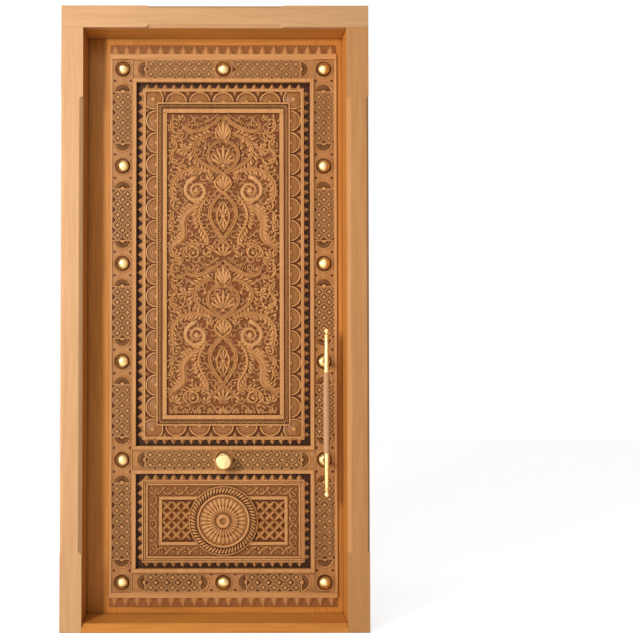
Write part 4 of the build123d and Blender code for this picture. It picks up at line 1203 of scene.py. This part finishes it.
# Rosette: turned rings, a slanted rope, two rows of petals and a hollow bud
def full_turn(count):
    """Angles of equal steps round a circle."""
    return [2 * math.pi * i / count for i in range(count)]


rosette_rings = [
    (126.5, 0), (126.8, 6), (125, 8.6), (122, 8.6), (120.5, 5), (97, 5), (96, 12), (93, 14), (89, 13),
    (87, 6.5), (27, 6.5), (26, 14), (23, 18.6), (18, 19.8), (13.5, 18.6), (11, 14), (10, 8), (2, 7.5),
]
rosette_pieces = [face_front(lathe(in_mm(rosette_rings), 64, 30))]
slant = math.radians(26)
foot = Vector((-6.2 * MM, 0, 96 * MM))
strands = []
for turn in full_turn(60):
    start = Matrix.Rotation(turn, 4, "Y") @ foot
    strands.append((start.x, -5 * MM, start.z, turn + slant, 12.5 * MM, 9 * MM, 28 * MM))
for count, inner, outer, width, rise, lift in ((30, 40, 88, 20, 6, 5), (30, 24, 59, 13, 6, 9.5)):
    for turn in full_turn(count):
        x, z = inner * MM * math.sin(turn), inner * MM * math.cos(turn)
        strands.append((x, -lift * MM, z, turn, width * MM, rise * MM, (outer - inner) * MM))
rosette_pieces += copies(blade(), strands)
rosette = join(rosette_pieces, "carved_rosette")
rosette.location = (middle_x, rosette_high.y, (rosette_low.z + rosette_high.z) / 2)
settle(rosette)
# The rosette darkens towards its ground: painted shade between rings and petals.
rosette_wood = carved_wood("rosette_wood", rosette_high.y - 11 * MM, rosette_high.y - 4.5 * MM)
add_piece(rosette, rosette_wood, "carved_wood", "leaf", "rosette")


# Hinges: plates with round knuckles and countersunk screws; screws of the strike and the lock's forend
def screw():
    """A countersunk screw head with a slot, rising along +Z."""
    head = lathe(in_mm([(4, 0), (4, 0.5), (3, 0.9), (0.5, 1)]), 20, 40)
    slot = block((-3.4 * MM, -0.5 * MM, 0.6 * MM), (3.4 * MM, 0.5 * MM, 1.3 * MM))
    return carve_away(head, [slot])


def set_screws(places, facing):
    """Screws at places, with their heads turned to face one way."""
    head = screw()
    head.rotation_euler = Vector((0, 0, 1)).rotation_difference(Vector(facing)).to_euler()
    settle(head)
    return copies(head, [(*place, 0) for place in places])


hinge_levels = (0.252, 1.0775, 1.903)
hinge_half = 55 * MM
flap_thick = 3 * MM
knuckle_radius = 7 * MM
knuckle_profile = [(6.2, 0), (7, 0.8), (7, 53.9), (6.2, 54.7)]
cap_profile = [(6, 0), (6, 1), (3.5, 3), (0.6, 3.6)]
for node_name, body, upper in (("hinge_frame_flaps", "frame", False), ("hinge_leaf_flaps", "leaf", True)):
    low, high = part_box(node_name)
    side, near, outer = (1, low.x, high.x) if upper else (-1, high.x, low.x)
    flap_back = low.y + flap_thick
    hinge_x = near + side * knuckle_radius
    hinge_y = high.y - knuckle_radius
    inner = hinge_x + side * (knuckle_radius + 0.5 * MM)
    span, tie = sorted((outer, inner)), sorted((hinge_x, inner))
    pieces, places = [], []
    for level in hinge_levels:
        bottom, top = level - hinge_half, level + hinge_half
        pieces.append(block((span[0], low.y, bottom), (span[1], flap_back, top), 0.6 * MM))
        start, end = (level + 0.3 * MM, top) if upper else (bottom, level - 0.3 * MM)
        pieces.append(block((tie[0], low.y, start), (tie[1], flap_back, end)))
        knuckle = lathe(in_mm(knuckle_profile), 28, 40)
        knuckle.location = (hinge_x, hinge_y, start)
        pieces.append(settle(knuckle))
        cap = lathe(in_mm(cap_profile), 24, 50)
        cap.rotation_euler = (0 if upper else math.pi, 0, 0)
        cap.location = (hinge_x, hinge_y, end if upper else start)
        pieces.append(settle(cap))
        places += [((span[0] + span[1]) / 2, flap_back - 0.4 * MM, level + up * MM) for up in (-40, 0, 40)]
    pieces += set_screws(places, (0, 1, 0))
    add_piece(join(pieces, node_name + "_forged"), steel, "steel", body, node_name)

strike_low, strike_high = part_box("strike_plate")
strike_y = (strike_low.y + strike_high.y) / 2
strike_ends = (strike_low.z + 12 * MM, strike_high.z - 12 * MM)
strike_screws = set_screws([(strike_low.x + 0.5 * MM, strike_y, z) for z in strike_ends], (-1, 0, 0))
add_piece(join(strike_screws, "strike_screws"), steel, "steel", "frame")

case_low, case_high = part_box("lock_case")
case_ends = (case_low.z + 12 * MM, case_high.z - 12 * MM)
forend_screws = set_screws([(case_high.x - 0.8 * MM, strike_y, z) for z in case_ends], (1, 0, 0))
add_piece(join(forend_screws, "forend_screws"), steel, "steel", "leaf")

# Thumbturn: a rounded wing on a collar
turn_low, turn_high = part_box("thumbturn")
rose_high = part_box("thumbturn_rose")[1]
turn_middle = (turn_low + turn_high) / 2
wing = block((turn_low.x, rose_high.y + 3 * MM, turn_low.z), turn_high, 4 * MM)
collar = lathe(in_mm([(9, 0), (9, 3), (6, 6), (2, 6.5)]), 32, 40)
collar.rotation_euler = (math.radians(-90), 0, 0)
collar.location = (turn_middle.x, rose_high.y + 0.4 * MM, turn_middle.z)
spindle = lathe([(4 * MM, 0), (4 * MM, 1 * MM), (4 * MM, rose_high.y - turn_low.y + 1 * MM)], 20, 40)
spindle.rotation_euler = (math.radians(-90), 0, 0)
spindle.location = (turn_middle.x, turn_low.y, turn_middle.z)
turn_piece = join([smooth(wing, 60), settle(collar), settle(spindle)], "turned_thumbturn")
add_piece(turn_piece, brass, "brass", "thumbturn", "thumbturn")


# Floor, backdrop light and camera
def white_floor():
    """A white floor that the camera sees a little brighter, so that it meets the backdrop."""
    bpy.ops.object.select_all(action="DESELECT")
    bpy.ops.mesh.primitive_plane_add(size=14, location=(0, 0, -1 * MM))
    floor = bpy.context.active_object
    floor.name = "studio_floor"
    material, tree, surface = new_material("studio_white")
    set_inputs(surface, Base_Color=(0.86, 0.86, 0.86, 1), Roughness=0.9, Emission_Color=(1, 1, 1, 1))
    rays = shader(tree, "LightPath")
    seen = sum_node(tree, "MAXIMUM")
    lift = sum_node(tree, "MULTIPLY")
    lift.inputs[1].default_value = 0.73
    wire(
        tree,
        (rays, "Is Camera Ray", seen, 0),
        (rays, "Is Glossy Ray", seen, 1),
        (seen, "Value", lift, 0),
        (lift, "Value", surface, "Emission Strength"),
    )
    floor.data.materials.append(material)


def studio_world(fill):
    """A white backdrop as the camera and reflections see it, with a softer light on the door."""
    world = bpy.data.worlds.new("studio")
    bpy.context.scene.world = world
    world.use_nodes = True
    tree = world.node_tree
    soft = set_inputs(tree.nodes["Background"], Color=(1, 1, 1, 1), Strength=fill)
    white = shader(tree, "Background", Color=(1, 1, 1, 1))
    rays = shader(tree, "LightPath")
    seen = sum_node(tree, "MAXIMUM")
    shown = sum_node(tree, "MAXIMUM")
    mix = shader(tree, "MixShader")
    wire(
        tree,
        (rays, "Is Camera Ray", seen, 0),
        (rays, "Is Glossy Ray", seen, 1),
        (seen, "Value", shown, 0),
        (rays, "Is Transmission Ray", shown, 1),
        (shown, "Value", mix, "Fac"),
        (soft, "Background", mix, 1),
        (white, "Background", mix, 2),
        (mix, "Shader", tree.nodes["World Output"], "Surface"),
    )


def soft_lamp(name, place, aim, size, power, colour):
    lamp = bpy.data.lights.new(name, "AREA")
    lamp.shape = "RECTANGLE"
    lamp.size, lamp.size_y = size
    lamp.energy = power
    lamp.color = colour
    holder = bpy.data.objects.new(name, lamp)
    bpy.context.scene.collection.objects.link(holder)
    holder.location = place
    holder.rotation_euler = (Vector(aim) - Vector(place)).to_track_quat("-Z", "Y").to_euler()


white_floor()
studio_world(0.21)
soft_lamp("key", (-2.1, -3.6, 2.0), (0, 0.1, 1.1), (0.5, 1.2), 160, (1, 0.97, 0.92))
soft_lamp("side", (-3.4, -1.0, 1.3), (0.4, 0.05, 1.1), (0.6, 2.0), 42, (1, 0.97, 0.92))
soft_lamp("fill", (-0.8, -3.2, 3.4), (0, 0.1, 0.8), (1.8, 1.2), 30, (1, 0.96, 0.9))

# Camera fitted to the picture's corners: 61 mm lens, a little below half height, tilted up
camera_data = bpy.data.cameras.new("camera")
camera_data.lens = 61.02
camera_data.sensor_width = 36
camera_data.shift_x = 0.1494
camera_data.shift_y = -0.0196
camera = bpy.data.objects.new("camera", camera_data)
bpy.context.scene.collection.objects.link(camera)
camera.location = (0.0232, -3.834, 1.0354)
camera.rotation_euler = (math.radians(90 + 1.482), 0, math.radians(-0.153))
bpy.context.scene.camera = camera
bpy.context.scene.view_settings.view_transform = "Standard"
